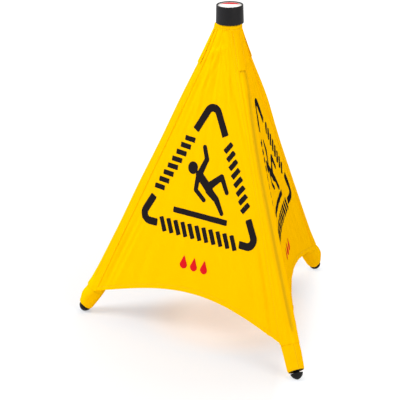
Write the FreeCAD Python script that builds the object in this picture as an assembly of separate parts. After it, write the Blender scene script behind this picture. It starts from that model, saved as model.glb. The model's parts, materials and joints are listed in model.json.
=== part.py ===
import FreeCAD, Part
import math
import os

from FreeCAD import Placement, Rotation, Vector

# Pop-up floor sign: a three-sided cloth cover on three spring-opened legs, hung from a capped hub.
# Millimetres, +Z up. The origin is on the floor, on the cap's axis, amid the three feet.

# ---------------------------------------------------------------- overall form
HEIGHT = 762.0               # floor to the cap's top rim
LEG_AZIMUTHS = (60.0, 180.0, 300.0)
LEG_LEAN = 24.6              # upper run of a leg from the vertical, degrees
LEG_BEND = 8.0               # how much further the lower run leans out, degrees
KNEE_Z = 75.0                # height where the two runs would meet
KNEE_BEND_R = 60.0           # centre-line radius of the bend

# ---------------------------------------------------------------- cap and label
CAP_H = 41.0
CAP_MOUTH_R = 30.0
CAP_TOP_R = 28.7
CAP_WALL = 2.0
CAP_PLATE_T = 3.0
CAP_RIM_W = 1.6              # width of the rim round the label
CAP_EDGE = 0.6
LABEL_RECESS = 2.0
LABEL_T = 0.5
LABEL_GAP = 0.3
RIB_T = 2.0
RIB_DROP = 20.0              # how far the cap's ribs reach below its plate
SCREW_R = 1.9
SCREW_L = 16.0
SCREW_HEAD_R = 4.0
SCREW_HEAD_H = 2.3
SCREW_GAP = 0.05
DRIVE_W = 1.0                # blades of the cross recess
DRIVE_L = 4.2
DRIVE_DEPTH = 1.3

# ---------------------------------------------------------------- hub
HUB_R = 25.0
HUB_INSET = 3.0              # hub's underside above the cap's mouth
HUB_ROOF = 4.0               # roof over the clevis slots
BOSS_R = 9.0
HUB_EDGE = 1.0
FIT_GAP = 0.1                # slip fit between pieces that stay together

# ---------------------------------------------------------------- hinges
HINGE_R = 13.5               # hinge pin's distance from the cap's axis
HINGE_RISE = 10.0            # hinge pin above the hub's underside
PIN_R = 1.5
PIN_SHORT = 11.0             # pin's reach past the leg's plane on the closed side
PIN_LONG = 13.0              # and on the side that it is driven in from
PIN_RUNNING_GAP = 0.05
EYE_SHOULDER = 0.3           # eye's side face past the side of the knuckle's socket
SLOT_SIDE_GAP = 0.2
SLOT_ROOF_GAP = 0.8
SLOT_BACK_GAP = 0.5
SOCKET_R = 4.6               # outside of the knuckle's socket for the leg rod
SOCKET_END = 26.0            # hinge pin to the socket's open end
ROD_START = 8.0              # hinge pin to the rod's upper end
BOSS_GAP = 0.15              # spring's coil round the eye's boss

# ---------------------------------------------------------------- torsion springs
WIRE_T = 0.9                 # square spring wire
COIL_TURNS = 2               # whole turns; the leg's lean adds the rest
COIL_PITCH = 1.15
COIL_SIDE_GAP = 0.3          # from the eye to the first turn
HOOK_S = 22.0                # where the moving arm hooks under the leg, along the leg
HOOK_GAP = 0.1               # arm to the leg that it bears on
HOOK_REACH = 2.0             # how far the hook goes past the leg's middle

# ---------------------------------------------------------------- legs and feet
ROD_R = 3.5
FOOT_R = 13.2
FOOT_FLAT = 0.4              # depth worn off the dome where it meets the floor
FOOT_BANDS = 7               # cone bands that make the dome
FOOT_LIP = 1.6
FOOT_NECK_R = 7.0
FOOT_NECK_H = 16.0
FOOT_SOCKET_FLOOR = 3.0      # dome centre to the socket's floor
NECK_FILLET = 1.5
SOCKET_GAP = 0.05            # rod in the knuckle's and the foot's sockets

# ---------------------------------------------------------------- cloth
CLOTH_T = 0.8
CLOTH_GAP = 0.3              # between layers of cloth that touch
FACET_WELD = 0.001           # corners of cloth facets nearer than this are one corner
BAND_DROP = 12.0             # top band's free edge below the cap's mouth
BAND_TUCK = 10.0             # how far the band runs up the hub
BAND_SIDE_R = 27.2           # band's reach from the axis, amid a panel, at its free edge
BAND_FLATS = 36
BAND_SIDE_BOW = 0.25         # 0 keeps a side of the band's free edge round, 1 makes it straight
CLAMP_T = 1.0
CLAMP_W = 6.0
CLAMP_RISE = 2.0             # clamp ring's lower edge above the hub's underside
CLAMP_SLIT = 3.0
SLEEVE_TOP_R = 7.0
SLEEVE_KNEE_R = 20.0
SLEEVE_END_R = 17.5
SLEEVE_END_GAP = 1.5         # foot's lip to the sleeve's open end
SLEEVE_FLATS = 12            # folds round a sleeve
PATCH_L = 90.0
PATCH_HALF_ANGLE = 54.0
PATCH_FOLDS = 4
PANEL_FLAT_L = 80.0          # length over which a panel's top flattens out
PANEL_FOLDS = 8              # flats across a panel's hollow
PANEL_HOLLOW = 9.0           # sag of a panel between the legs, at the knees
HEM_RISE = 48.0              # height of the hem's arch above its corners
HEM_CORNER = 8.0             # hem's corner below the knee, along the leg
HEM_W = 9.0
HEM_T = 0.5                  # what the folded hem adds to the cloth's thickness

# ---------------------------------------------------------------- worked-out places
CAP_MOUTH_Z = HEIGHT - CAP_H
PLATE_TOP_Z = HEIGHT - LABEL_RECESS
PLATE_Z = PLATE_TOP_Z - CAP_PLATE_T
LABEL_R = CAP_TOP_R - CAP_RIM_W - LABEL_GAP
HUB_Z = CAP_MOUTH_Z + HUB_INSET
HINGE_Z = HUB_Z + HINGE_RISE
EYE_W = 2 * (SOCKET_R + EYE_SHOULDER)
COIL_R = SOCKET_R + HOOK_GAP + WIRE_T / 2
BOSS_EYE_R = COIL_R - WIRE_T / 2 - BOSS_GAP
COIL_START = EYE_W / 2 + COIL_SIDE_GAP + WIRE_T / 2
COIL_SWEEP = COIL_TURNS + LEG_LEAN / 360
COIL_END = COIL_START + COIL_PITCH * COIL_SWEEP
BOSS_END = COIL_END + WIRE_T / 2
SLOT_LOW = -EYE_W / 2 - SLOT_SIDE_GAP
SLOT_HIGH = BOSS_END + SLOT_SIDE_GAP
EYE_R = COIL_R + WIRE_T / 2
SLOT_ROOF_Z = HINGE_Z + EYE_R + SLOT_ROOF_GAP
HUB_TOP_Z = SLOT_ROOF_Z + HUB_ROOF
BAND_IN_R = HUB_R + FIT_GAP
BAND_Z = CAP_MOUTH_Z - BAND_DROP
LEAN = math.radians(LEG_LEAN)
LOWER_LEAN = math.radians(LEG_LEAN + LEG_BEND)
SECTOR = 360.0 / len(LEG_AZIMUTHS)
HALF_SECTOR = math.radians(SECTOR / 2)
OUT = Vector(1, 0, 0)
ACROSS = Vector(0, 1, 0)
UP = Vector(0, 0, 1)
HINGE = Vector(HINGE_R, 0, HINGE_Z)
UPPER_DIR = Vector(math.sin(LEAN), 0, -math.cos(LEAN))
UPPER_OUT = Vector(math.cos(LEAN), 0, math.sin(LEAN))
LOWER_DIR = Vector(math.sin(LOWER_LEAN), 0, -math.cos(LOWER_LEAN))
UPPER_L = (HINGE_Z - KNEE_Z) / math.cos(LEAN)
KNEE = HINGE + UPPER_DIR * UPPER_L
FOOT_Z = FOOT_R - FOOT_FLAT
LOWER_L = (KNEE_Z - FOOT_Z) / math.cos(LOWER_LEAN)
FOOT_CENTRE = KNEE + LOWER_DIR * LOWER_L
BEND_TANGENT = KNEE_BEND_R * math.tan((LOWER_LEAN - LEAN) / 2)
SLEEVE_START = (HINGE_Z - BAND_Z + CLOTH_GAP) / math.cos(LEAN) + SLEEVE_TOP_R * math.tan(LEAN)


def export(shape, node):
    """Write one sub-part to its own STEP file."""
    shape.exportStep("parts/%s.step" % node)


def turned(shape, azimuth):
    """A copy of shape, turned about the cap's axis to a leg's or a panel's azimuth."""
    copy = shape.copy()
    copy.rotate(Vector(0, 0, 0), UP, azimuth)
    return copy


def turned_point(radius, azimuth, z):
    """A point at a radius, azimuth and height about the cap's axis."""
    turn = math.radians(azimuth)
    return Vector(radius * math.cos(turn), radius * math.sin(turn), z)


def disc(radius, low, high):
    """An upright cylinder on the cap's axis between two heights."""
    return Part.makeCylinder(radius, high - low, Vector(0, 0, low))


def ring(outer, inner, low, high):
    """An upright tube on the cap's axis."""
    return disc(outer, low, high).cut(disc(inner, low, high))


def block(low, high):
    """A box between two opposite corners."""
    size = high.sub(low)
    return Part.makeBox(size.x, size.y, size.z, low)


def rod(start, end, radius):
    """A round rod from one point to another."""
    return Part.makeCylinder(radius, start.distanceToPoint(end), start, end.sub(start))


def revolved(edges, centre=Vector(0, 0, 0), axis=UP):
    """The solid that a closed profile sweeps in a full turn."""
    return Part.Face(Part.Wire(edges)).revolve(centre, axis, 360)


def outline(points):
    """Straight edges through the points, in order."""
    return [Part.LineSegment(a, b).toShape() for a, b in zip(points, points[1:])]


def arc(start, middle, end):
    """An arc through three points."""
    return Part.Arc(start, middle, end).toShape()


# ---------------------------------------------------------------- cap group
def cap_inner_r(z):
    """Radius of the cap's tapered inner wall at a height."""
    share = (z - CAP_MOUTH_Z) / CAP_H
    return CAP_MOUTH_R - CAP_WALL + (CAP_TOP_R - CAP_MOUTH_R) * share


def make_cap(screw_hole):
    """Moulded cup: drafted wall, plate with a recess for the label, and ribs that centre it."""
    wall = [
        Vector(0, 0, PLATE_Z),
        Vector(cap_inner_r(PLATE_Z), 0, PLATE_Z),
        Vector(cap_inner_r(CAP_MOUTH_Z), 0, CAP_MOUTH_Z),
        Vector(CAP_MOUTH_R, 0, CAP_MOUTH_Z),
        Vector(CAP_TOP_R, 0, HEIGHT),
        Vector(CAP_TOP_R - CAP_RIM_W, 0, HEIGHT),
        Vector(CAP_TOP_R - CAP_RIM_W, 0, PLATE_TOP_Z),
        Vector(0, 0, PLATE_TOP_Z),
        Vector(0, 0, PLATE_Z),
    ]
    cup = revolved(outline(wall))
    top_edges = [e for e in cup.Edges if e.Closed and e.BoundBox.ZMin > HEIGHT - CAP_EDGE / 2]
    cup = cup.makeChamfer(CAP_EDGE, top_edges)
    inside = Part.makeCone(cap_inner_r(CAP_MOUTH_Z) + CAP_WALL / 2, cap_inner_r(PLATE_Z) + CAP_WALL / 2,
                           PLATE_Z - CAP_MOUTH_Z, Vector(0, 0, CAP_MOUTH_Z))
    rib = block(Vector(HUB_R + FIT_GAP, -RIB_T / 2, PLATE_Z - RIB_DROP),
                Vector(CAP_MOUTH_R, RIB_T / 2, PLATE_Z))
    rib = rib.common(inside)
    ribs = [turned(rib, azimuth + SECTOR / 2) for azimuth in LEG_AZIMUTHS]
    return cup.multiFuse(ribs).removeSplitter().cut(screw_hole)


def make_screw(gap=0.0, depth=0.0):
    """Countersunk screw under the label; with a gap and a depth it is the hole for that screw."""
    profile = [
        Vector(0, 0, PLATE_TOP_Z),
        Vector(SCREW_HEAD_R + gap, 0, PLATE_TOP_Z),
        Vector(SCREW_R + gap, 0, PLATE_TOP_Z - SCREW_HEAD_H),
        Vector(SCREW_R + gap, 0, PLATE_TOP_Z - SCREW_L - depth),
        Vector(0, 0, PLATE_TOP_Z - SCREW_L - depth),
        Vector(0, 0, PLATE_TOP_Z),
    ]
    return revolved(outline(profile))


def make_driven_screw():
    """The screw with the cross recess in its head."""
    blade = block(Vector(-DRIVE_L / 2, -DRIVE_W / 2, PLATE_TOP_Z - DRIVE_DEPTH),
                  Vector(DRIVE_L / 2, DRIVE_W / 2, PLATE_TOP_Z))
    return make_screw().cut(blade).cut(turned(blade, 90))


# ---------------------------------------------------------------- hub
def make_hub(screw_hole):
    """Round hub with three clevis slots, open below and outward, each crossed by its pin's bore."""
    body = disc(HUB_R, HUB_Z, HUB_TOP_Z)
    rims = [e for e in body.Edges if e.Closed and abs(e.BoundBox.ZMax - HUB_TOP_Z) < HUB_EDGE / 2]
    body = body.makeChamfer(HUB_EDGE, rims)
    body = body.fuse(disc(BOSS_R, HUB_TOP_Z - HUB_EDGE, PLATE_Z))
    slot = block(Vector(HINGE_R - EYE_R - SLOT_BACK_GAP, SLOT_LOW, HUB_Z - HUB_EDGE),
                 Vector(HUB_R + HUB_EDGE, SLOT_HIGH, SLOT_ROOF_Z))
    bore = rod(Vector(HINGE_R, -PIN_SHORT, HINGE_Z), Vector(HINGE_R, HUB_R, HINGE_Z), PIN_R)
    for azimuth in LEG_AZIMUTHS:
        body = body.cut(turned(slot, azimuth))
    for azimuth in LEG_AZIMUTHS:
        body = body.cut(turned(bore, azimuth))
    return body.cut(screw_hole)


def make_pin():
    """Hinge pin across the clevis slot."""
    return rod(Vector(HINGE_R, -PIN_SHORT, HINGE_Z), Vector(HINGE_R, PIN_LONG, HINGE_Z), PIN_R)


def square_section(centre, first, second):
    """Outline of the spring wire's square section at a point, in the plane of two directions."""
    a = first * (WIRE_T / 2)
    b = second * (WIRE_T / 2)
    corners = [centre + a + b, centre - a + b, centre - a - b, centre + a - b]
    return Part.Wire(outline(corners + corners[:1]))


def wire_bar(start, end, side):
    """Straight run of square wire, half a wire longer at its far end so that corners close."""
    way = end - start
    way.normalize()
    section = Part.Face(square_section(start, side, way.cross(side)))
    return section.extrude(end - start + way * (WIRE_T / 2))


def make_spring():
    """Torsion spring round the eye's boss: one arm up the slot's back wall, one hooked under the leg."""
    helix = Part.makeHelix(COIL_PITCH, COIL_END - COIL_START, COIL_R, 0, True)
    section = square_section(Vector(COIL_R, 0, 0), OUT, UP)
    coil = Part.Wire(helix).makePipeShell([section], True, True)
    coil.Placement = Placement(HINGE + ACROSS * COIL_START, Rotation(OUT * -1, UP, ACROSS, "ZXY"))
    fixed = HINGE - OUT * COIL_R + ACROSS * COIL_START
    moving = HINGE - UPPER_OUT * COIL_R + ACROSS * COIL_END
    corner = moving + UPPER_DIR * HOOK_S
    hook_end = corner - ACROSS * (COIL_END + HOOK_REACH)
    arms = [
        wire_bar(fixed, Vector(fixed.x, fixed.y, SLOT_ROOF_Z - WIRE_T), OUT),
        wire_bar(moving, corner, UPPER_OUT),
        wire_bar(corner, hook_end, UPPER_OUT),
    ]
    return coil.multiFuse(arms)


# ---------------------------------------------------------------- legs
def make_knuckle():
    """Eye on the pin with a boss for the spring, and a socket that the leg rod is pressed into."""
    eye = rod(HINGE - ACROSS * (EYE_W / 2), HINGE + ACROSS * (EYE_W / 2), EYE_R)
    boss = rod(HINGE, HINGE + ACROSS * BOSS_END, BOSS_EYE_R)
    socket = rod(HINGE + UPPER_DIR * (ROD_START / 2), HINGE + UPPER_DIR * SOCKET_END, SOCKET_R)
    pin_bore = rod(HINGE - ACROSS * EYE_W, HINGE + ACROSS * (2 * BOSS_END), PIN_R + PIN_RUNNING_GAP)
    rod_bore = rod(HINGE + UPPER_DIR * ROD_START, HINGE + UPPER_DIR * (2 * SOCKET_END), ROD_R + SOCKET_GAP)
    return eye.fuse(boss).fuse(socket).cut(pin_bore).cut(rod_bore)


def make_rod():
    """Bent spring-steel rod from the floor of the knuckle's socket to the floor of the foot's."""
    start = HINGE + UPPER_DIR * ROD_START
    bend_start = KNEE - UPPER_DIR * BEND_TANGENT
    bend_end = KNEE + LOWER_DIR * BEND_TANGENT
    end = FOOT_CENTRE - LOWER_DIR * FOOT_SOCKET_FLOOR
    centre = bend_start + UPPER_OUT * KNEE_BEND_R
    bisector = KNEE - centre
    bisector.normalize()
    path = Part.Wire([
        Part.LineSegment(start, bend_start).toShape(),
        arc(bend_start, centre + bisector * KNEE_BEND_R, bend_end),
        Part.LineSegment(bend_end, end).toShape(),
    ])
    section = Part.Wire(Part.Circle(start, UPPER_DIR, ROD_R).toShape())
    return path.makePipeShell([section], True, True)


def make_foot():
    """Rubber foot: a dome with a rim, a filleted neck and a blind socket, worn flat at the floor."""
    turns = [math.pi / 2 * band / FOOT_BANDS for band in range(FOOT_BANDS + 1)]
    dome = outline([Vector(FOOT_R * math.sin(turn), 0, -FOOT_R * math.cos(turn)) for turn in turns])
    socket_r = ROD_R + SOCKET_GAP
    rest = outline([
        Vector(FOOT_R, 0, 0),
        Vector(FOOT_R - FOOT_LIP / 4, 0, FOOT_LIP),
        Vector(FOOT_NECK_R + NECK_FILLET, 0, FOOT_LIP),
        Vector(FOOT_NECK_R, 0, FOOT_LIP + NECK_FILLET),
        Vector(FOOT_NECK_R, 0, FOOT_NECK_H),
        Vector(socket_r, 0, FOOT_NECK_H),
        Vector(socket_r, 0, FOOT_SOCKET_FLOOR),
        Vector(0, 0, FOOT_SOCKET_FLOOR),
        Vector(0, 0, -FOOT_R),
    ])
    foot = revolved(dome + rest)
    foot.Placement = Placement(FOOT_CENTRE, Rotation(UP, LOWER_DIR * -1))
    reach = Vector(2 * FOOT_R, 2 * FOOT_R, 0)
    under = block(Vector(FOOT_CENTRE.x, 0, -FOOT_R) - reach, Vector(FOOT_CENTRE.x, 0, 0) + reach)
    return foot.cut(under)


# ---------------------------------------------------------------- cloth
def cloth(outer, inner, closed):
    """Solid cloth of flat facets between two skins, each a list of rows of points.

    A closed row comes back to its first point, as round a sleeve; an open one has selvedges.
    """
    rows = len(outer)
    across = len(outer[0])
    points = [point for skin in (outer, inner) for row in skin for point in row]
    facets = []

    def quad(a, b, c, d):
        facets.append((a, b, c))
        facets.append((a, c, d))

    def at(skin, row, place):
        return (skin * rows + row) * across + place % across

    spans = range(across if closed else across - 1)
    for place in spans:
        for row in range(rows - 1):
            for skin in (0, 1):
                quad(at(skin, row, place), at(skin, row, place + 1),
                     at(skin, row + 1, place + 1), at(skin, row + 1, place))
        for row in (0, rows - 1):
            quad(at(0, row, place), at(0, row, place + 1), at(1, row, place + 1), at(1, row, place))
    if not closed:
        end = across - 1
        for row in range(rows - 1):
            quad(at(0, row, 0), at(0, row + 1, 0), at(1, row + 1, 0), at(1, row, 0))
            quad(at(0, row, end), at(1, row, end), at(1, row + 1, end), at(0, row + 1, end))
    shell = Part.Shape()
    shell.makeShapeFromMesh((points, facets), FACET_WELD)
    solid = Part.makeSolid(shell)
    if solid.Volume < 0:
        solid.reverse()
    return solid.removeSplitter()


def sleeve_r(s):
    """Outer radius of a sleeve at a distance down the leg's upper run."""
    share = (s - SLEEVE_START) / (UPPER_L - SLEEVE_START)
    return SLEEVE_TOP_R + (SLEEVE_KNEE_R - SLEEVE_TOP_R) * share


def around(centre, direction, radius, angle):
    """A point round a leg's run; angle 0 is the crown, away from the cap's axis."""
    out = ACROSS.cross(direction)
    out.normalize()
    turn = math.radians(angle)
    return centre + out * (radius * math.cos(turn)) + ACROSS * (radius * math.sin(turn))


def make_sleeve():
    """Cloth tube round the leg, widening to the knee and narrowing to its open end above the foot."""
    stations = [
        (HINGE + UPPER_DIR * SLEEVE_START, UPPER_DIR, SLEEVE_TOP_R),
        (KNEE, UPPER_DIR + LOWER_DIR, SLEEVE_KNEE_R),
        (FOOT_CENTRE - LOWER_DIR * (FOOT_LIP + SLEEVE_END_GAP), LOWER_DIR, SLEEVE_END_R),
    ]
    angles = [360.0 * (fold + 0.5) / SLEEVE_FLATS for fold in range(SLEEVE_FLATS)]
    outer = [[around(*station, angle) for angle in angles] for station in stations]
    inner = [[around(centre, way, r - CLOTH_T, angle) for angle in angles] for centre, way, r in stations]
    return cloth(outer, inner, True)


def make_patch():
    """Doubling patch that saddles the crown of a sleeve's top end."""
    step = 2.0 * PATCH_HALF_ANGLE / PATCH_FOLDS
    angles = [-PATCH_HALF_ANGLE + step * fold for fold in range(PATCH_FOLDS + 1)]
    skins = []
    for lift in (CLOTH_GAP + CLOTH_T, CLOTH_GAP):
        rows = []
        for s in (SLEEVE_START + CLOTH_GAP, SLEEVE_START + PATCH_L):
            centre = HINGE + UPPER_DIR * s
            rows.append([around(centre, UPPER_DIR, sleeve_r(s) + lift, angle) for angle in angles])
        skins.append(rows)
    return cloth(skins[0], skins[1], False)


# ---------------------------------------------------------------- cover
# A panel spans two legs. Its own directions: ACROSS along the hem, DOWN in the plane of both legs,
# FACE out of that plane. It is built at azimuth 0, between legs at plus and minus half a sector.
PANEL_LEAN = math.atan(math.tan(LEAN) * math.cos(HALF_SECTOR))
FACE = Vector(math.cos(PANEL_LEAN), 0, math.sin(PANEL_LEAN))
DOWN = Vector(math.sin(PANEL_LEAN), 0, -math.cos(PANEL_LEAN))
HEM_S = UPPER_L + HEM_CORNER
COVER_S = HEM_S + HEM_W


def leg_point(s, side):
    """Point on the leg line at one side of the panel (side is -1 or 1)."""
    rho = HINGE_R + s * math.sin(LEAN)
    return Vector(rho * math.cos(HALF_SECTOR), side * rho * math.sin(HALF_SECTOR),
                  HINGE_Z - s * math.cos(LEAN))


def panel_curve(s, thickness):
    """Points across a panel: it bows out to the round band at its top and hollows in proportion below."""
    lift = sleeve_r(s) + CLOTH_GAP + thickness
    left = leg_point(s, -1) + FACE * lift
    right = leg_point(s, 1) + FACE * lift
    if s < SLEEVE_START + PANEL_FLAT_L / 2:
        bulge = BAND_SIDE_R - CLOTH_T - leg_point(s, 1).x - (lift - thickness) * FACE.x
    else:
        bulge = -PANEL_HOLLOW * right.y / leg_point(UPPER_L, 1).y
    points = []
    for index in range(PANEL_FOLDS + 1):
        share = 2.0 * index / PANEL_FOLDS - 1.0
        on_chord = (left + right) * 0.5 + (right - left) * (share / 2)
        points.append(on_chord + FACE * (bulge * (1 - share * share)))
    return points


def panel_skin(thickness):
    """Closed skin from the top band to below the hem, its inner face just clear of the sleeves."""
    top = SLEEVE_START + CLOTH_GAP
    stations = (top, top + PANEL_FLAT_L, COVER_S)
    outer = [panel_curve(s, thickness) for s in stations]
    inner = [panel_curve(s, 0.0) for s in stations]
    return cloth(outer, inner, False)


def hem_region(lift):
    """Everything below the hem's arch, which is raised by lift, as a slab across the panel."""
    corner = leg_point(HEM_S, 1)
    low = corner + DOWN * (2 * HEM_RISE)
    crest = Vector(corner.x, 0, corner.z) - DOWN * (HEM_RISE + lift)
    left = Vector(corner.x, -corner.y, corner.z) - DOWN * lift
    right = corner - DOWN * lift
    wide = ACROSS * (2 * SLEEVE_KNEE_R)
    edges = [
        arc(left, crest, right),
        Part.LineSegment(right, right + wide).toShape(),
        Part.LineSegment(right + wide, low + wide).toShape(),
        Part.LineSegment(low + wide, Vector(low.x, -low.y, low.z) - wide).toShape(),
        Part.LineSegment(Vector(low.x, -low.y, low.z) - wide, left - wide).toShape(),
        Part.LineSegment(left - wide, left).toShape(),
    ]
    face = Part.Face(Part.Wire(edges))
    depth = FACE * (4 * SLEEVE_KNEE_R)
    face.translate(depth * -0.5)
    return face.extrude(depth)


def make_panel():
    """Cloth panel with an arched hem that is folded to a second thickness."""
    below = hem_region(0.0)
    skin = panel_skin(CLOTH_T).cut(below)
    hem = panel_skin(CLOTH_T + HEM_T).cut(below).common(hem_region(HEM_W))
    return skin.fuse(hem).removeSplitter()


def band_reach(off_leg, z, inset):
    """The band's reach at its free edge, some way round from a leg: round the leg, or along a side."""
    turn = math.radians(off_leg)
    side = (BAND_SIDE_R - inset) / math.cos(HALF_SECTOR - abs(turn)) ** BAND_SIDE_BOW
    leg = HINGE_R + (HINGE_Z - z) * math.tan(LEAN)
    lobe_r = (SLEEVE_TOP_R + CLOTH_GAP + CLOTH_T - inset) / math.cos(LEAN)
    aside = leg * math.sin(abs(turn))
    if aside >= lobe_r:
        return side
    return max(side, leg * math.cos(turn) + math.sqrt(lobe_r ** 2 - aside ** 2))


def band_row(z, inset):
    """Points round the top band at a height: round at the hub, three-cornered at its free edge."""
    drop = max(0.0, (HUB_Z - z) / (HUB_Z - BAND_Z))
    hub_r = (BAND_IN_R + CLOTH_T - inset) / math.cos(math.pi / BAND_FLATS)
    points = []
    for flat in range(BAND_FLATS):
        past_leg = 360.0 * flat / BAND_FLATS
        off_leg = (past_leg + SECTOR / 2) % SECTOR - SECTOR / 2
        radius = hub_r * (1 - drop) + band_reach(off_leg, z, inset) * drop
        points.append(turned_point(radius, LEG_AZIMUTHS[0] + past_leg, z))
    return points


def make_band():
    """Cloth band that is clamped round the hub and flares to meet the panels and sleeves."""
    levels = (HUB_Z + BAND_TUCK, HUB_Z, BAND_Z)
    outer = [band_row(z, 0.0) for z in levels]
    inner = [band_row(z, CLOTH_T) for z in levels]
    return cloth(outer, inner, True)


def make_clamp():
    """Split steel ring that holds the band on the hub."""
    inner = (BAND_IN_R + CLOTH_T) / math.cos(math.pi / BAND_FLATS) ** 2 + FIT_GAP
    low = HUB_Z + CLAMP_RISE
    band = ring(inner + CLAMP_T, inner, low, low + CLAMP_W)
    slit = block(Vector(0, -CLAMP_SLIT / 2, low), Vector(2 * inner, CLAMP_SLIT / 2, low + CLAMP_W))
    return band.cut(slit)


def build():
    """Make every sub-part and write it out."""
    os.makedirs("parts", exist_ok=True)
    hole = make_screw(SCREW_GAP, SCREW_GAP)
    export(make_cap(hole), "cap")
    export(disc(LABEL_R, PLATE_TOP_Z, PLATE_TOP_Z + LABEL_T), "cap_label")
    export(make_driven_screw(), "cap_screw")
    export(make_hub(hole), "hub")
    export(make_clamp(), "clamp_ring")
    export(make_band(), "top_band")
    on_each_leg = {
        "hinge_pin": make_pin(),
        "torsion_spring": make_spring(),
        "leg_knuckle": make_knuckle(),
        "leg_rod": make_rod(),
        "foot": make_foot(),
        "leg_sleeve": make_sleeve(),
        "corner_patch": make_patch(),
    }
    panel = make_panel()
    for number, azimuth in enumerate(LEG_AZIMUTHS, 1):
        for name, shape in on_each_leg.items():
            export(turned(shape, azimuth), "%s_%d" % (name, number))
        export(turned(panel, azimuth + SECTOR / 2), "cover_panel_%d" % number)


build()
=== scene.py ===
import json
import logging
import math
from dataclasses import dataclass
from enum import Enum
from typing import Callable

import bpy
import numpy as np
from mathutils import Matrix, Vector

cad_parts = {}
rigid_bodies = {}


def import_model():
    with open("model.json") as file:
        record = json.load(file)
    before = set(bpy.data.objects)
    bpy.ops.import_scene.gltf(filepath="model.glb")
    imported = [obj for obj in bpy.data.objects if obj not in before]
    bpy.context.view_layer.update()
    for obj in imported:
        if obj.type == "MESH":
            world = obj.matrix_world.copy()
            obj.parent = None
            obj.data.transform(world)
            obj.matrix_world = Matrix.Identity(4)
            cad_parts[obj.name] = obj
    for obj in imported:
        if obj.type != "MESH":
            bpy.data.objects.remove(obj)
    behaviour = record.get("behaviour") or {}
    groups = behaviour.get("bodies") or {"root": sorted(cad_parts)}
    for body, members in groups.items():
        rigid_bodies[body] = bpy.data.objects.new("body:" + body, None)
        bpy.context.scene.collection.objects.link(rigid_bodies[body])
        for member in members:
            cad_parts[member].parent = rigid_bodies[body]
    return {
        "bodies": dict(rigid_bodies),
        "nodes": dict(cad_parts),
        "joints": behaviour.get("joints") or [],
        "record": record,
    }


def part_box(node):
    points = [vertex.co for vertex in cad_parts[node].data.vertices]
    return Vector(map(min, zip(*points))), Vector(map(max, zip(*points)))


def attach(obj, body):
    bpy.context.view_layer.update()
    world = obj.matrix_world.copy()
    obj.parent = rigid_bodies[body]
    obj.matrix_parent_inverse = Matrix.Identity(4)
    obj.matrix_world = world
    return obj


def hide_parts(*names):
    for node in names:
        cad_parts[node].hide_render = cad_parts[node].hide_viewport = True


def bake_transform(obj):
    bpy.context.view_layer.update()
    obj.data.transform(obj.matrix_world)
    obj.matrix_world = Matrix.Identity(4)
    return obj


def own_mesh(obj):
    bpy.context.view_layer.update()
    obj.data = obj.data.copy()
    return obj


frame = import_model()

# A pop-up floor sign: a three-sided cover of coated nylon, sleeved over three sprung legs that
# hinge under a moulded cap. Shapes are worked out in millimetres, and scaled by MM on their way out.
# Each leg and each panel is worked out at azimuth 0, facing +X, and then turned to its place.

Pair = tuple[float, float]
Piece = bpy.types.Object
Socket = bpy.types.NodeSocket
Tree = bpy.types.NodeTree

MM = 0.001
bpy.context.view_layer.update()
LOG = logging.getLogger("floor_sign")
SHARP_ANGLE = 50.0
ACROSS = np.array([0.0, 1.0, 0.0])
LEG_AZIMUTHS = {1: 60.0, 2: 180.0, 3: 300.0}
PANELS = ((1, 120.0, (1, 2)), (2, 240.0, (2, 3)), (3, 0.0, (3, 1)))  # number, azimuth, the two legs
FAR = 1e3  # farther, in millimetres, than any place on the print lies from an edge
THREAD_LIFT = 0.05  # how far, in millimetres, a seam's path stands off the cloth
WAVE_PITCH = 0.314  # a wave texture of scale 1 repeats every 2 pi / 20


# ---------------------------------------------------------------- small tools
def linear(code: str) -> tuple[float, float, float, float]:
    """Turn an sRGB hex colour into the linear colour that shaders use.

    Args:
        code: colour such as "#FFD000".

    Returns:
        Linear red, green, blue and an alpha of 1.
    """
    parts = [int(code[i:i + 2], 16) / 255 for i in (1, 3, 5)]
    low = [c / 12.92 if c <= 0.04045 else ((c + 0.055) / 1.055) ** 2.4 for c in parts]
    return (*low, 1.0)


def unit(vector: np.ndarray) -> np.ndarray:
    """Scale vectors along the last axis to length 1."""
    return vector / np.linalg.norm(vector, axis=-1, keepdims=True)


def smooth(x: np.ndarray, low: float, high: float) -> np.ndarray:
    """Smooth step: 0 up to low, 1 from high, and 3t^2 - 2t^3 of the share t in between."""
    t = np.clip((x - low) / (high - low), 0.0, 1.0)
    return t * t * (3 - 2 * t)


def bell(x: np.ndarray, width: float) -> np.ndarray:
    """A bell: 1 where x is 0, falling on both sides as e^-(x / width)^2."""
    return np.exp(-(x / width) ** 2)


def step_from(x: np.ndarray, place: float, span: Pair) -> np.ndarray:
    """Smooth step over a span that is given from a place."""
    return smooth(x, place + span[0], place + span[1])


def turned(points: np.ndarray, azimuth: float) -> np.ndarray:
    """Turn points about the cap's axis.

    Args:
        points: array whose last axis is x, y, z.
        azimuth: angle in degrees, anticlockwise from above.

    Returns:
        The turned points.
    """
    c, s = math.cos(math.radians(azimuth)), math.sin(math.radians(azimuth))
    return points @ np.array([[c, s, 0.0], [-s, c, 0.0], [0.0, 0.0, 1.0]])


def add_node(tree: Tree, kind: str, inputs: dict | None = None, **settings) -> bpy.types.Node:
    """Add a shader node with its settings, values and links.

    Args:
        tree: node tree to add to.
        kind: node's bl_idname.
        inputs: socket name or number to a value, or to another node's output socket.
        settings: attributes set on the node itself.

    Returns:
        The new node.
    """
    node = tree.nodes.new(kind)
    for name, value in settings.items():
        setattr(node, name, value)
    for name, value in (inputs or {}).items():
        if isinstance(value, Socket):
            tree.links.new(value, node.inputs[name])
        else:
            node.inputs[name].default_value = value
    return node


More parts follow.
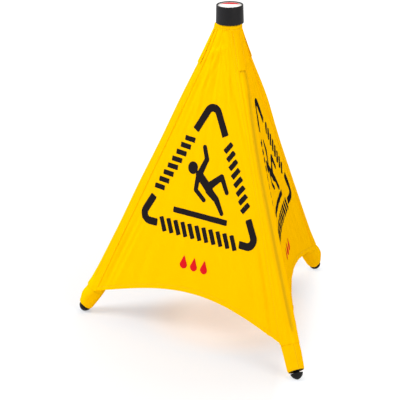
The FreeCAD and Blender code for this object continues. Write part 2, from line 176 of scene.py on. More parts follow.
def new_material(name: str) -> tuple[bpy.types.Material, Tree, bpy.types.Node]:
    """Start a material.

    Args:
        name: material's name.

    Returns:
        The material, its node tree and its Principled node.
    """
    made = bpy.data.materials.new(name)
    made.use_nodes = True
    return made, made.node_tree, made.node_tree.nodes["Principled BSDF"]


def mix(tree: Tree, factor: Socket, low: object, high: object,
        blend: str = "MIX") -> Socket:
    """Mix two colours, each a value or a socket.

    A mix node takes its colours at inputs 6 and 7 and gives the mixed one at output 2.

    Args:
        tree: node tree to add to.
        factor: share of the second colour.
        low: first colour.
        high: second colour.
        blend: way of mixing.

    Returns:
        The mixed colour's socket.
    """
    return add_node(tree, "ShaderNodeMix", {"Factor": factor, 6: low, 7: high},
                    data_type="RGBA", blend_type=blend).outputs[2]


def add_object(name: str, data: bpy.types.ID) -> Piece:
    """Put new data in the scene, as an object at the origin.

    Args:
        name: object's name.
        data: mesh, lamp or camera.

    Returns:
        The object.
    """
    made = bpy.data.objects.new(name, data)
    bpy.context.scene.collection.objects.link(made)
    return made


def make_mesh(name: str, points: np.ndarray, faces: np.ndarray | list, uv: np.ndarray | None = None,
              **attributes: np.ndarray) -> Piece:
    """Make a smooth-shaded object from points in millimetres.

    Args:
        name: object's name.
        points: (n, 3) points in millimetres.
        faces: (m, 3) or (m, 4) corner numbers, or a list of such arrays.
        uv: (n, 2) texture place of each point, in metres of cloth.
        attributes: name to (n,) value of each point.

    Returns:
        The object, linked to the scene, at the origin.
    """
    mesh = bpy.data.meshes.new(name)
    groups = faces if isinstance(faces, list) else [faces]
    mesh.from_pydata((points * MM).tolist(), [], [face for group in groups for face in group.tolist()])
    if uv is not None:
        corners = np.empty(len(mesh.loops), int)
        mesh.loops.foreach_get("vertex_index", corners)
        mesh.uv_layers.new(name="UVMap").data.foreach_set("uv", uv[corners].astype(np.float32).ravel())
    for key, values in attributes.items():
        layer = mesh.attributes.new(key, "FLOAT", "POINT")
        layer.data.foreach_set("value", values.astype(np.float32))
    mesh.polygons.foreach_set("use_smooth", np.ones(len(mesh.polygons), bool))
    mesh.set_sharp_from_angle(angle=math.radians(SHARP_ANGLE))
    return add_object(name, mesh)


def make_sheet(name: str, points: np.ndarray, faces: np.ndarray, thickness: float, uv: np.ndarray,
               **attributes: np.ndarray) -> Piece:
    """Make a sheet with a back, set in along the face's normals, and a rim round each open edge.

    Args:
        name: object's name.
        points: (n, 3) points of the outer face, in millimetres.
        faces: (m, 4) corner numbers, anticlockwise from outside.
        thickness: from the outer face to the back.
        uv: (n, 2) texture place of each point, in metres of cloth.
        attributes: name to (n,) value of each point.

    Returns:
        The object.
    """
    slant = np.cross(points[faces[:, 2]] - points[faces[:, 0]], points[faces[:, 3]] - points[faces[:, 1]])
    normals = np.zeros_like(points)
    np.add.at(normals, faces.ravel(), np.repeat(slant, 4, axis=0))
    count = len(points)
    edges = np.stack([faces, np.roll(faces, -1, axis=1)], -1).reshape(-1, 2)
    _, first, uses = np.unique(np.sort(edges, axis=1), axis=0, return_index=True, return_counts=True)
    start, end = edges[first[uses == 1]].T
    rim = np.stack([end, start, start + count, end + count], -1)
    both = {key: np.tile(values, 2) for key, values in attributes.items()}
    return make_mesh(name, np.concatenate([points, points - unit(normals) * thickness]),
                     [faces, faces[:, ::-1] + count, rim], uv=np.tile(uv, (2, 1)), **both)


def grid_faces(rows: int, columns: int, closed: bool = False, flip: bool = False) -> np.ndarray:
    """Corner numbers of the quads of a grid of points.

    Args:
        rows: points down the grid.
        columns: points across the grid.
        closed: whether the last column joins the first.
        flip: whether to turn the faces over.

    Returns:
        (m, 4) corner numbers.
    """
    start = np.arange(rows - 1)[:, None] * columns
    left = np.arange(columns if closed else columns - 1)[None, :]
    right = (left + 1) % columns
    below = start + columns
    quads = np.stack([start + left, start + right, below + right, below + left], axis=-1).reshape(-1, 4)
    return quads[:, ::-1] if flip else quads


def grid_sheet(name: str, points: np.ndarray, uv: np.ndarray, thickness: float, crease: np.ndarray,
               closed: bool = False, flip: bool = True) -> Piece:
    """Make a sheet from a grid of points.

    Args:
        name: object's name.
        points: (rows, columns, 3) points of the outer face, in millimetres.
        uv: (rows, columns, 2) texture places, in metres of cloth.
        thickness: from the outer face to the back.
        crease: (rows, columns) painted shade in seams, folds and hollows, 0 to 1.
        closed: whether the last column joins the first.
        flip: whether to turn the faces over.

    Returns:
        The object.
    """
    return make_sheet(name, points.reshape(-1, 3), grid_faces(*crease.shape, closed, flip), thickness,
                      uv.reshape(-1, 2), crease=crease.ravel())


def revolved(name: str, profile: np.ndarray, closed: bool = False, sides: int = 96) -> Piece:
    """Turn a profile about the z axis: radius r and height z become (r cos t, r sin t, z).

    Args:
        name: object's name.
        profile: (n, 2) radius and height, anticlockwise with the radius to the right.
        closed: whether the profile is a loop; otherwise each end gets a flat disc.
        sides: points round the axis.

    Returns:
        The turned piece.
    """
    angle = np.linspace(0.0, 2 * math.pi, sides, endpoint=False)[None, :]
    ring, level = profile[:, :1], profile[:, 1:]
    points = np.stack([ring * np.cos(angle), ring * np.sin(angle), level + 0 * angle], -1).reshape(-1, 3)
    count = len(profile)
    if closed:
        return make_mesh(name, points, [grid_faces(count + 1, sides, closed=True) % len(points)])
    discs = [np.arange(sides)[None, ::-1], (np.arange(sides) + sides * (count - 1))[None, :]]
    return make_mesh(name, points, [grid_faces(count, sides, closed=True), *discs])


def rounded(corners: list[tuple[float, float, float]], steps: int = 5) -> np.ndarray:
    """Round the corners of a looped profile.

    Each corner c becomes the curve (1 - t)^2 a + 2 t (1 - t) c + t^2 b, from the point a that lies
    its reach before it to the point b that lies its reach after it.

    Args:
        corners: radius, height and reach of each corner.
        steps: points on each curve.

    Returns:
        (n, 2) radius and height.
    """
    table = np.array(corners)
    at, reach = table[:, None, :2], table[:, None, 2:]
    before = at + unit(np.roll(at, 1, axis=0) - at) * reach
    after = at + unit(np.roll(at, -1, axis=0) - at) * reach
    t = np.linspace(0.0, 1.0, steps)[None, :, None]
    return ((1 - t) ** 2 * before + 2 * t * (1 - t) * at + t ** 2 * after).reshape(-1, 2)


# ---------------------------------------------------------------- form
@dataclass(frozen=True)
class Form:
    """Sizes and directions that the legs and the cover share, in millimetres and degrees."""

    hinge_r: float
    hinge_z: float
    foot_r: float
    lean: float = 24.6
    bend: float = 8.0
    knee_z: float = 75.0
    bend_r: float = 60.0
    foot_centre_z: float = 12.8
    sleeve_start: float = 31.0
    tube_top_r: float = 8.1
    tube_knee_r: float = 21.1
    half_sector: float = 60.0

    @classmethod
    def from_frame(cls, loaded: dict) -> "Form":
        """Read the hinges' and the feet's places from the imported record.


        Returns:
            The form.
        """
        hinge = loaded["joints"][0]["pos_m"]
        foot = next(m for m in loaded["record"]["mounts"] if m["kind"] == "flat_face")["pos_m"]
        return cls(math.hypot(hinge[0], hinge[1]) / MM, hinge[2] / MM, math.hypot(foot[0], foot[1]) / MM)

    @property
    def lean_rad(self) -> float:
        """Lean of a leg's upper run from the vertical."""
        return math.radians(self.lean)

    @property
    def upper_l(self) -> float:
        """Length of a leg's upper run, from its hinge to where the runs would meet."""
        return (self.hinge_z - self.knee_z) / math.cos(self.lean_rad)

    @property
    def upper_dir(self) -> np.ndarray:
        """Direction down the upper run."""
        return np.array([math.sin(self.lean_rad), 0.0, -math.cos(self.lean_rad)])

    @property
    def lower_dir(self) -> np.ndarray:
        """Direction down the lower run."""
        low = math.radians(self.lean + self.bend)
        return np.array([math.sin(low), 0.0, -math.cos(low)])

    @property
    def knee(self) -> np.ndarray:
        """Where the two runs would meet."""
        return np.array([self.hinge_r, 0.0, self.hinge_z]) + self.upper_dir * self.upper_l

    @property
    def foot_centre(self) -> np.ndarray:
        """Centre of the foot's dome."""
        return np.array([self.foot_r, 0.0, self.foot_centre_z])

    @property
    def face(self) -> np.ndarray:
        """Outward direction of the plane of two legs, for the panel at azimuth 0."""
        lean = math.atan(math.tan(self.lean_rad) * math.cos(math.radians(self.half_sector)))
        return np.array([math.cos(lean), 0.0, math.sin(lean)])

    @property
    def down(self) -> np.ndarray:
        """Downward direction in the plane of two legs."""
        return np.array([self.face[2], 0.0, -self.face[0]])

    @property
    def spread_sin(self) -> float:
        """Sine of the angle in that plane between a leg and the panel's centre line."""
        return math.sin(self.lean_rad) * math.sin(math.radians(self.half_sector))

    @property
    def spread_cos(self) -> float:
        """Cosine of that angle."""
        return math.sqrt(1 - self.spread_sin ** 2)

    @property
    def face_turn(self) -> float:
        """Angle round a leg from its crown to the panels' plane, in radians."""
        crown = turned(np.array([math.cos(self.lean_rad), 0.0, math.sin(self.lean_rad)]), self.half_sector)
        return math.acos(float(crown @ self.face))

    def tube_r(self, s: np.ndarray) -> np.ndarray:
        """Radius of the cloth round a leg, growing evenly from its top to the knee."""
        share = (s - self.sleeve_start) / (self.upper_l - self.sleeve_start)
        return self.tube_top_r + (self.tube_knee_r - self.tube_top_r) * share

    def leg_path(self, s: np.ndarray) -> tuple[np.ndarray, np.ndarray, np.ndarray]:
        """Follow a leg's centre line: straight, an arc at the knee, straight.

        Args:
            s: distance down the leg from its hinge.

        Returns:
            Points, directions down the leg, and outward directions, each shaped s + (3,).
        """
        half = self.bend_r * math.tan(math.radians(self.bend) / 2)
        start = self.upper_l - half
        arc_l = self.bend_r * math.radians(self.bend)
        turn = self.lean_rad + np.clip((s - start) / self.bend_r, 0.0, math.radians(self.bend))
        down = np.stack([np.sin(turn), np.zeros_like(turn), -np.cos(turn)], -1)
        out = np.stack([np.cos(turn), np.zeros_like(turn), np.sin(turn)], -1)
        first = np.array([math.cos(self.lean_rad), 0.0, math.sin(self.lean_rad)])
        straight = np.minimum(s, start)[..., None] * self.upper_dir
        curved = self.bend_r * (first - out)
        rest = np.maximum(s - start - arc_l, 0.0)[..., None] * self.lower_dir
        return np.array([self.hinge_r, 0.0, self.hinge_z]) + straight + curved + rest, down, out


def round_leg(centre: np.ndarray, out: np.ndarray, r: np.ndarray, angle: np.ndarray) -> np.ndarray:
    """Points at a distance r from a leg's line, at an angle from its crown: r (cos out + sin across)."""
    return centre + out * (r * np.cos(angle))[..., None] + ACROSS * (r * np.sin(angle))[..., None]


# ---------------------------------------------------------------- finishes
@dataclass(frozen=True)
class Finish:
    """What every finish has: a colour, how glossy it is, and the bump that its making leaves."""

    name: str
    colour: str
    roughness: float
    mottle: float = 0.0
    mottle_mm: float = 40.0
    grain_mm: float = 1.0
    grain_depth_mm: float = 0.02
    gloss: float = 0.5

    def material(self) -> bpy.types.Material:
        """Make the Blender material.

        Returns:
            A material with colour variation and grain from noise on Object coordinates.
        """
        made, tree, shader = new_material(self.name)
        place = add_node(tree, "ShaderNodeTexCoord").outputs["Object"]
        patches = add_node(tree, "ShaderNodeTexNoise", {
            "Vector": place, "Scale": 1 / (self.mottle_mm * MM)})
        base = linear(self.colour)
        dark, light = ((*(min(1.0, c * share) for c in base[:3]), 1.0)
                       for share in (1 - self.mottle, 1 + self.mottle))
        shades = mix(tree, patches.outputs["Fac"], dark, light)
        tree.links.new(self.shade(tree, shades), shader.inputs["Base Color"])
        shader.inputs["Roughness"].default_value = self.roughness
        shader.inputs["Specular IOR Level"].default_value = self.gloss
        grain = add_node(tree, "ShaderNodeTexNoise", {"Vector": place, "Scale": 1 / (self.grain_mm * MM)})
        bump = add_node(tree, "ShaderNodeBump", {
            "Height": grain.outputs["Fac"], "Distance": self.grain_depth_mm * MM, "Strength": 1.0})
        tree.links.new(self.relief(tree, bump.outputs["Normal"]), shader.inputs["Normal"])
        self.finish(shader)
        return made

    def shade(self, tree: Tree, colour: Socket) -> Socket:
        """Change the colour further; a plain finish leaves it."""
        return colour

    def relief(self, tree: Tree, normal: Socket) -> Socket:
        """Add more relief; a plain finish leaves it."""
        return normal

    def finish(self, shader: bpy.types.Node) -> None:
        """Set what else the shader needs; a plain finish needs nothing."""


@dataclass(frozen=True)
class CoatedNylon(Finish):
    """Plain-woven nylon with a polyurethane coat: bright, with a soft sheen, and with painted shade in its
    seams and folds.
    """

    # Olive of the painted shade in seams, folds and hollows, which the cloth's colour mixes towards.
    painted_shade_colour: str = "#8F7D1C"
    sheen: float = 0.25
    satin: float = 0.05
    thread_mm: float = 1.2
    thread_depth_mm: float = 0.012
    crinkle_mm: float = 16.0
    crinkle_depth_mm: float = 0.5
    crinkle_twist: float = 0.6
    sheen_roughness: float = 0.35

    def shade(self, tree: Tree, colour: Socket) -> Socket:
        """Paint shade into the cloth's seams, folds and hollows, by the mesh's point attribute of painted
        shade.
        """
        crease = add_node(tree, "ShaderNodeAttribute", attribute_name="crease").outputs["Fac"]
        return mix(tree, crease, colour, linear(self.painted_shade_colour))

    def relief(self, tree: Tree, normal: Socket) -> Socket:
        """Add soft crinkles and the weave, coarser than the real thread so that it shows at all.

        Args:
            tree: the material's node tree.
            normal: the relief so far.

        Returns:
            The normal with crinkles and weave.
        """
        place = add_node(tree, "ShaderNodeUVMap", uv_map="UVMap").outputs["UV"]
        crinkle = add_node(tree, "ShaderNodeTexNoise", {
            "Vector": place, "Scale": 1 / (self.crinkle_mm * MM), "Detail": 1.0,
            "Distortion": self.crinkle_twist})
        soft = add_node(tree, "ShaderNodeBump", {
            "Height": crinkle.outputs["Fac"], "Distance": self.crinkle_depth_mm * MM, "Normal": normal})
        height = soft.outputs["Normal"]
        for direction in ("X", "Y"):
            thread = add_node(tree, "ShaderNodeTexWave", {
                "Vector": place, "Scale": WAVE_PITCH / (self.thread_mm * MM)}, bands_direction=direction)
            height = add_node(tree, "ShaderNodeBump", {
                "Height": thread.outputs["Fac"], "Distance": self.thread_depth_mm * MM,
                "Normal": height}).outputs["Normal"]
        return height

    def finish(self, shader: bpy.types.Node) -> None:
        """Tint the light that comes back from between the dyed fibres.

        The sheen is yellow, and a small metallic share stands for the coat's satin, whose
        reflections are yellow as well.

        Args:
            shader: the material's Principled node.
        """
        shader.inputs["Metallic"].default_value = self.satin
        shader.inputs["Specular Tint"].default_value = linear(self.colour)
        shader.inputs["Sheen Weight"].default_value = self.sheen
        shader.inputs["Sheen Roughness"].default_value = self.sheen_roughness
        shader.inputs["Sheen Tint"].default_value = linear(self.colour)


@dataclass(frozen=True)
class Metal(Finish):
    """Bare or zinc-plated steel: a clear reflection, blurred a little by the surface's grain."""

    def finish(self, shader: bpy.types.Node) -> None:
        """A metal keeps the default IOR and is fully metallic."""
        shader.inputs["Metallic"].default_value = 1.0


@dataclass(frozen=True)
class Glossy(Finish):
    """Vinyl or rubber with a coat of gloss over its own colour."""

    coat: float = 0.4
    coat_roughness: float = 0.15

    def finish(self, shader: bpy.types.Node) -> None:
        """Clear coat."""
        shader.inputs["Coat Weight"].default_value = self.coat
        shader.inputs["Coat Roughness"].default_value = self.coat_roughness


class Slot(Enum):
    """The record's material slots."""

    CLOTH = "cover_cloth"
    THREAD = "seam_thread"
    INK = "print_ink"
    RED = "red_ink"
    CAP = "cap_plastic"
    LABEL = "label_vinyl"
    RUBBER = "foot_rubber"
    NYLON = "hub_nylon"
    SCREW = "screw_steel"
    CLAMP = "clamp_steel"
    PIN = "pin_steel"
    SPRING = "spring_steel"
    ROD = "rod_steel"


# Yellow coated nylon: a strong warm yellow whose coat gives soft highlights along the folds.
# Screen ink: flat, dead black or red. Moulded plastic: a fine spark texture.
# Rubber: darker and glossier than the plastic. Steels: zinc on the rods, oil on the springs.
FINISHES = {
    Slot.CLOTH: CoatedNylon("coated_nylon_woven", "#FFC200", 0.38, mottle=0.03, mottle_mm=60.0,
                            gloss=0.0),
    Slot.THREAD: Finish("polyester_thread_twisted", "#F2B800", 0.6, mottle=0.1, mottle_mm=3.0,
                        grain_mm=0.4),
    Slot.INK: Finish("screen_ink_black", "#221E1F", 0.5, mottle=0.06, mottle_mm=20.0, grain_mm=1.2,
                     gloss=0.0),
    Slot.RED: Finish("screen_ink_red", "#D81C22", 0.5, mottle=0.04, mottle_mm=20.0, grain_mm=1.2,
                     gloss=0.0),
    Slot.CAP: Finish("polypropylene_moulded", "#232325", 0.44, mottle=0.08, mottle_mm=12.0,
                     grain_mm=0.7, gloss=0.08),
    Slot.LABEL: Glossy("vinyl_label_printed", "#F1F0EE", 0.3, mottle=0.02, mottle_mm=9.0,
                       grain_depth_mm=0.004),
    Slot.RUBBER: Glossy("natural_rubber_moulded", "#161515", 0.5, mottle=0.15, mottle_mm=8.0,
                        gloss=0.1, coat=0.04),
    Slot.NYLON: Finish("glass_filled_nylon_moulded", "#303032", 0.5, mottle=0.15, mottle_mm=6.0,
                       grain_mm=0.5),
    Slot.SCREW: Metal("zinc_plated_screw", "#BFC0BC", 0.28, mottle=0.08, mottle_mm=2.0),
    Slot.CLAMP: Metal("rolled_steel_strip", "#A9AAAA", 0.38, mottle=0.1, mottle_mm=5.0),
    Slot.PIN: Metal("ground_steel_pin", "#B4B5B5", 0.22, mottle=0.05, mottle_mm=2.0),
    Slot.SPRING: Metal("oiled_spring_wire", "#7C7A76", 0.3, mottle=0.15, mottle_mm=3.0),
    Slot.ROD: Metal("zinc_plated_rod", "#B9BAB6", 0.3, mottle=0.1, mottle_mm=14.0),
}


class Palette:
    """Makes each finish once and hands it out."""

    def __init__(self) -> None:
        """Start with no material made."""
        self.made: dict[Slot, bpy.types.Material] = {}

    def __getitem__(self, slot: Slot) -> bpy.types.Material:
        """Hand out a material, made on first use.

        Args:
            slot: which slot.

        Returns:
            Its material.
        """
        if slot not in self.made:
            self.made[slot] = FINISHES[slot].material()
        return self.made[slot]


def paint(piece: Piece, palette: Palette, slot: Slot) -> Piece:
    """Give a new piece the finish of one of the record's slots."""
    piece.data.materials.append(palette[slot])
    return piece


@dataclass
class Placed:
    """What is made three times: worked out at azimuth 0, and then turned to its own azimuth."""

    number: int
    azimuth: float
    palette: Palette

    def placed(self, points: np.ndarray) -> np.ndarray:
        """Turn points, or a direction, to the azimuth."""
        return turned(points, self.azimuth)


# ---------------------------------------------------------------- cover surface
@dataclass(frozen=True)
class Fold:
    """A soft ridge (or valley) in a panel, from one point of the print's plane to another."""

    start: Pair
    end: Pair
    width: float
    height: float
    fade_in: Pair = (-0.25, 0.3)
    fade_out: Pair = (0.7, 1.25)

    def rise(self, u: np.ndarray, v: np.ndarray) -> np.ndarray:
        """Height of the fold: a bell across its line, fading out at both ends, at shares of its length.

        Args:
            u: distance across the panel from its centre line.
            v: distance down the panel.

        Returns:
            Height off the panel at each place.
        """
        a, b = np.array(self.start), np.array(self.end)
        way = unit(b - a)
        length = float(np.linalg.norm(b - a))
        along = (u - a[0]) * way[0] + (v - a[1]) * way[1]
        aside = (v - a[1]) * way[0] - (u - a[0]) * way[1]
        grow, shrink = (smooth(along, low * length, high * length)
                        for low, high in (self.fade_in, self.fade_out))
        return self.height * (grow * (1 - shrink)) * bell(aside, self.width)


FOLDS = (
    Fold((-56, 104), (-24, 74), 6.0, 2.2),
    Fold((-26, 78), (12, 62), 6.0, 2.6),
    Fold((10, 60), (34, 108), 6.0, 2.8),
    Fold((22, 84), (74, 170), 6.0, -2.2),
    Fold((-3, 76), (-8, 175), 8.0, -2.0),
    Fold((-24, 92), (-44, 205), 8.0, 2.0),
    Fold((36, 125), (106, 273), 6.0, -2.8),
    Fold((50, 112), (128, 300), 6.0, 3.0),
    Fold((66, 112), (164, 345), 6.0, -2.4),
    Fold((118, 300), (200, 470), 7.0, 1.8),
    Fold((104, 300), (180, 455), 7.0, -1.2),
    Fold((176, 440), (262, 655), 7.0, 2.6),
    Fold((163, 450), (240, 650), 7.0, -2.2),
    Fold((150, 470), (216, 636), 8.0, 2.4),
    Fold((132, 490), (186, 615), 8.0, -1.6),
    Fold((98, 505), (140, 600), 9.0, 1.8),
    Fold((60, 520), (84, 590), 10.0, -1.0),
    Fold((-60, 150), (-150, 345), 7.0, 1.2),
    Fold((-74, 140), (-168, 350), 6.0, -1.4),
    Fold((-150, 360), (-214, 505), 7.0, 1.4),
    Fold((-196, 470), (-254, 640), 6.0, 2.4),
    Fold((-176, 490), (-238, 648), 6.0, -1.8),
    Fold((-160, 520), (-206, 640), 7.0, 1.5),
    Fold((-172, 604), (-152, 644), 6.0, 2.2),
    Fold((-128, 540), (-150, 624), 9.0, -1.0),
)


@dataclass(frozen=True)
class PanelSurface:
    """The cover's outer face between two legs, for the panel at azimuth 0.

    s runs down the legs from their hinges and q across, from -1 at one leg to 1 at the other. At
    each s the face is a shallow arch that leaves each leg's tube of cloth along its tangent: it
    swells at the top, to meet the round band, and hollows towards the hem.
    """

    form: Form
    mirrored: bool = False
    swell: float = 5.4
    swell_l: float = 45.0
    hollow: float = 9.0
    hollow_start: float = 60.0
    hem_corner_s: float = 733.0
    hem_rise: float = 58.0
    hem_power: float = 1.15
    hem_drop: float = 0.0
    print_top_z: float = 728.6
    print_slope: float = 0.977
    arch_rounds: int = 6
    fold_fade: Pair = (4.0, 22.0)
    fan_above: float = 30.0
    ripple_h: float = 0.28
    ripple_waves: Pair = (61.0, 97.0)
    rib_h: float = 0.8
    rib_pitch: float = 2.5
    rib_side: float = 34.0
    rib_spread: float = 17.0
    smooth_until: Pair = (20.0, 120.0)
    pulled_below: Pair = (430.0, 560.0)
    pulled_above: Pair = (-260.0, -60.0)

    def arch(self, s: np.ndarray) -> tuple[np.ndarray, ...]:
        """Solve the arch at each s.

        The turn d of the contact round the tube and the arch's rise b satisfy
        tan d = 2 b / (w cos spread), with b the target height less the contact's, w the half
        width; a few rounds of substitution settle both.

        Args:
            s: distance down the legs.

        Returns:
            Turn, half width, contact height and rise of the arch.
        """
        f = self.form
        rho = f.hinge_r + s * math.sin(f.lean_rad)
        beside = rho * math.sin(math.radians(f.half_sector))
        r = f.tube_r(s)
        deep = np.clip((s - self.hollow_start) / (f.upper_l - self.hollow_start), 0.0, None)
        target = r + self.swell * bell(s - f.sleeve_start, self.swell_l) - self.hollow * deep
        turn = np.zeros_like(s)
        for _ in range(self.arch_rounds):
            width = beside + r * np.sin(turn) * f.spread_cos
            turn = np.arctan(2 * (target - r * np.cos(turn)) / (width * f.spread_cos))
        return turn, width, r * np.cos(turn), target - r * np.cos(turn)

    def point(self, s: np.ndarray, q: np.ndarray, lift: float = 0.0) -> np.ndarray:
        """Point of the face, raised along the panel's outward direction.

        Args:
            s: distance down the legs.
            q: place across, -1 to 1.
            lift: height above the face.

        Returns:
            Points, shaped s + (3,).
        """
        f = self.form
        turn, width, contact, rise = self.arch(s)
        rho = f.hinge_r + s * math.sin(f.lean_rad)
        drop = -f.tube_r(s) * np.sin(turn) * f.spread_sin
        u = width * q
        v = self.print_v(s)
        side = width * (1 - np.abs(q)) * f.spread_cos
        folds = smooth(side, *self.fold_fade) * self.folds(u, v, side)
        height = contact + rise * (1 - q ** 2) + folds + lift
        zero = np.zeros_like(u)
        spine = np.stack([rho * math.cos(math.radians(f.half_sector)) + zero, u,
                          f.hinge_z - s * math.cos(f.lean_rad) + zero], -1)
        return spine + height[..., None] * f.face + (drop + zero)[..., None] * f.down

    def folds(self, u: np.ndarray, v: np.ndarray, side: np.ndarray) -> np.ndarray:
        """Sum of the folds, of faint ripples that fan out from the top, and of ribs along the legs.

        Ripples are sines of the slope across / down, and ribs sines of the distance from the leg,
        both with a slow drift; the ribs are strongest where the cloth is pulled, high and low.

        Args:
            u: distance across the panel from its centre line.
            v: distance down the panel.
            side: distance from the nearer leg's line, square to it.

        Returns:
            Height off the smooth face.
        """
        across = -u if self.mirrored else u
        fan = across / (v + self.fan_above)
        coarse, fine = self.ripple_waves
        ripple = np.sin(fan * coarse + 2.0 * np.sin(v / 90.0)) + 0.6 * np.sin(fan * fine + 1.3)
        drift = 1.2 * np.sin(v / 70.0 + np.sign(across))
        ribs = np.sin(side / self.rib_pitch + drift) * bell(side - self.rib_side, self.rib_spread)
        pull = 0.25 + smooth(v, *self.pulled_below) + 0.6 * smooth(-v, *self.pulled_above)
        return (sum(fold.rise(across, v) for fold in FOLDS)
                + self.ripple_h * ripple * smooth(v, *self.smooth_until) + self.rib_h * ribs * pull)

    def print_v(self, s: np.ndarray) -> np.ndarray:
        """Distance down the panel, from a little below the cap's mouth, of a place on the legs."""
        return (s - self.print_s(0.0)) / (self.print_s(1.0) - self.print_s(0.0))

    def print_s(self, v: np.ndarray | float) -> np.ndarray | float:
        """Distance down the legs of a height on the panel.

        The panel's outer face stands a tube's radius off the legs, which lifts it by that radius
        times the face's upward part.

        Args:
            v: distance down the panel.

        Returns:
            Distance down the legs from their hinges.
        """
        f = self.form
        grow = (f.tube_knee_r - f.tube_top_r) / (f.upper_l - f.sleeve_start)
        top_r = f.tube_top_r - grow * f.sleeve_start
        level = self.print_top_z - self.print_slope * v
        return (f.hinge_z + f.face[2] * top_r - level) / (math.cos(f.lean_rad) - f.face[2] * grow)

    def hem_s(self, q: np.ndarray) -> np.ndarray:
        """Where the arched hem crosses, at a place across; it may hang lower towards the q = -1 leg."""
        arch = self.hem_corner_s - self.hem_rise * (1 - q ** 2) ** self.hem_power
        return arch + self.hem_drop * smooth(-q, -0.7, 1.0)


# ---------------------------------------------------------------- print
def capsule(p: np.ndarray, a: Pair, b: Pair, r: float,
            r_end: float | None = None) -> np.ndarray:
    """Signed distance to a round-ended stroke whose half width may change along it.

    Args:
        p: (..., 2) places.
        a: start of the stroke.
        b: end of the stroke.
        r: half width at the start.
        r_end: half width at the end, the same if left out.

    Returns:
        Distance, negative inside.
    """
    start, way = np.array(a, float), np.array(b, float) - np.array(a, float)
    t = np.clip(((p - start) @ way) / (way @ way), 0.0, 1.0)
    last = r if r_end is None else r_end
    return np.linalg.norm(p - start - t[..., None] * way, axis=-1) - (r + (last - r) * t)


def bar(p: np.ndarray, a: Pair, b: Pair, half: float) -> np.ndarray:
    """Signed distance to a square-ended stroke.

    Outside it is the length of what is over in each direction, and inside the larger of the two.

    Args:
        p: (..., 2) places.
        a: start of the stroke.
        b: end of the stroke.
        half: half width.

    Returns:
        Distance, negative inside.
    """
    start, end = np.array(a, float), np.array(b, float)
    way = unit(end - start)
    middle = (start + end) / 2
    along = np.abs((p - middle) @ way) - np.linalg.norm(end - start) / 2
    aside = np.abs((p - middle) @ np.array([-way[1], way[0]])) - half
    outside = np.linalg.norm(np.maximum(np.stack([along, aside], -1), 0.0), axis=-1)
    return outside + np.minimum(np.maximum(along, aside), 0.0)


@dataclass(frozen=True)
class WarningPrint:
    """The black print: a broken triangle, a slipping figure on a bar, and hazard stripes.

    Places are millimetres across (u) and down (v) the panel.
    """

    apex_v: float = 212.0
    corner: Pair = (137.9, 464.5)
    corner_r: float = 17.0
    stroke: float = 8.7
    limb: float = 5.3
    stripe_half: float = 5.8
    stripe_pitch: float = 20.0
    stripe_lean: float = 0.45
    stripe_margin: float = 12.0
    gap_half: float = 24.0

    def border(self, p: np.ndarray) -> np.ndarray:
        """The rounded triangle: a band at corner_r outside a smaller, sharp triangle.

        Args:
            p: (..., 2) places.

        Returns:
            Signed distance to the band.
        """
        top, low = np.array([0.0, self.apex_v]), np.array(self.corner)
        low_left = low * [-1, 1]
        sides = ((top, low), (low, low_left), (low_left, top))
        edge = np.minimum.reduce([capsule(p, a, b, 0.0) for a, b in sides])
        side = unit(low - top)
        inside = (np.abs(p[..., 0]) * side[1] - (p[..., 1] - top[1]) * side[0] < 0) & (p[..., 1] < low[1])
        return np.abs(np.where(inside, -edge, edge) - self.corner_r) - self.stroke

    def gaps(self) -> tuple[tuple[Pair, Pair, float], ...]:
        """The three stretches where the triangle is broken.

        Returns:
            Both ends of each, and the half height of its stripes.
        """
        return (
            ((-41.5, 252.5), (-133.5, 421.0), 12.8),
            ((41.5, 252.5), (133.5, 421.0), 12.8),
            ((-116.5, 481.5), (116.5, 481.5), 16.0),
        )

    def stripes(self, p: np.ndarray, a: Pair, b: Pair,
                half_h: float) -> np.ndarray:
        """A row of slanting stripes: each leans with its foot ahead of its head.

        Args:
            p: (..., 2) places.
            a: start of the row.
            b: end of the row.
            half_h: half height of a stripe.

        Returns:
            Signed distance to the stripes.
        """
        start, end = np.array(a), np.array(b)
        way = unit(end - start)
        count = int((np.linalg.norm(end - start) - self.stripe_margin) // self.stripe_pitch)
        middle = (start + end) / 2
        lean = self.stripe_lean * way * half_h
        rise = np.array([-way[1], way[0]]) * half_h
        d = np.full(p.shape[:-1], FAR)
        for index in range(count):
            at = middle + way * self.stripe_pitch * (index - (count - 1) / 2)
            d = np.minimum(d, bar(p, tuple(at - lean - rise), tuple(at + lean + rise), self.stripe_half))
        return d

    def figure(self, p: np.ndarray) -> np.ndarray:
        """The slipping figure: a disc for the head and tapering strokes for the body and limbs.

        Args:
            p: (..., 2) places.

        Returns:
            Signed distance to the figure and to the bar under it.
        """
        parts = (
            capsule(p, (-36, 337), (-36, 339), 13.4),
            capsule(p, (-11, 286), (-1, 312), self.limb, 6.4),
            capsule(p, (-1, 312), (-16, 349), 6.4, 7.5),
            capsule(p, (-16, 351), (15, 377), 10.0, 10.5),
            capsule(p, (-19, 351), (-21, 386), 6.4, self.limb),
            capsule(p, (-21, 386), (4, 404), self.limb, 5.4),
            capsule(p, (14, 371), (46, 343), 9.0, 6.6),
            capsule(p, (46, 343), (65, 375), 6.6, self.limb),
            capsule(p, (15, 380), (38, 396), 10.0, 7.6),
            capsule(p, (38, 396), (58, 424), 7.6, self.limb),
            bar(p, (-76, 442), (76, 442), 6.6),
        )
        return np.minimum.reduce(parts)

    def distance(self, p: np.ndarray) -> np.ndarray:
        """The whole black print: figure, broken triangle, and the stripes in its gaps.

        Args:
            p: (..., 2) places.

        Returns:
            Signed distance to the print.
        """
        border = self.border(p)
        d = self.figure(p)
        for a, b, half_h in self.gaps():
            border = np.maximum(border, -bar(p, a, b, self.gap_half))
            d = np.minimum(d, self.stripes(p, a, b, half_h))
        return np.minimum(d, border)


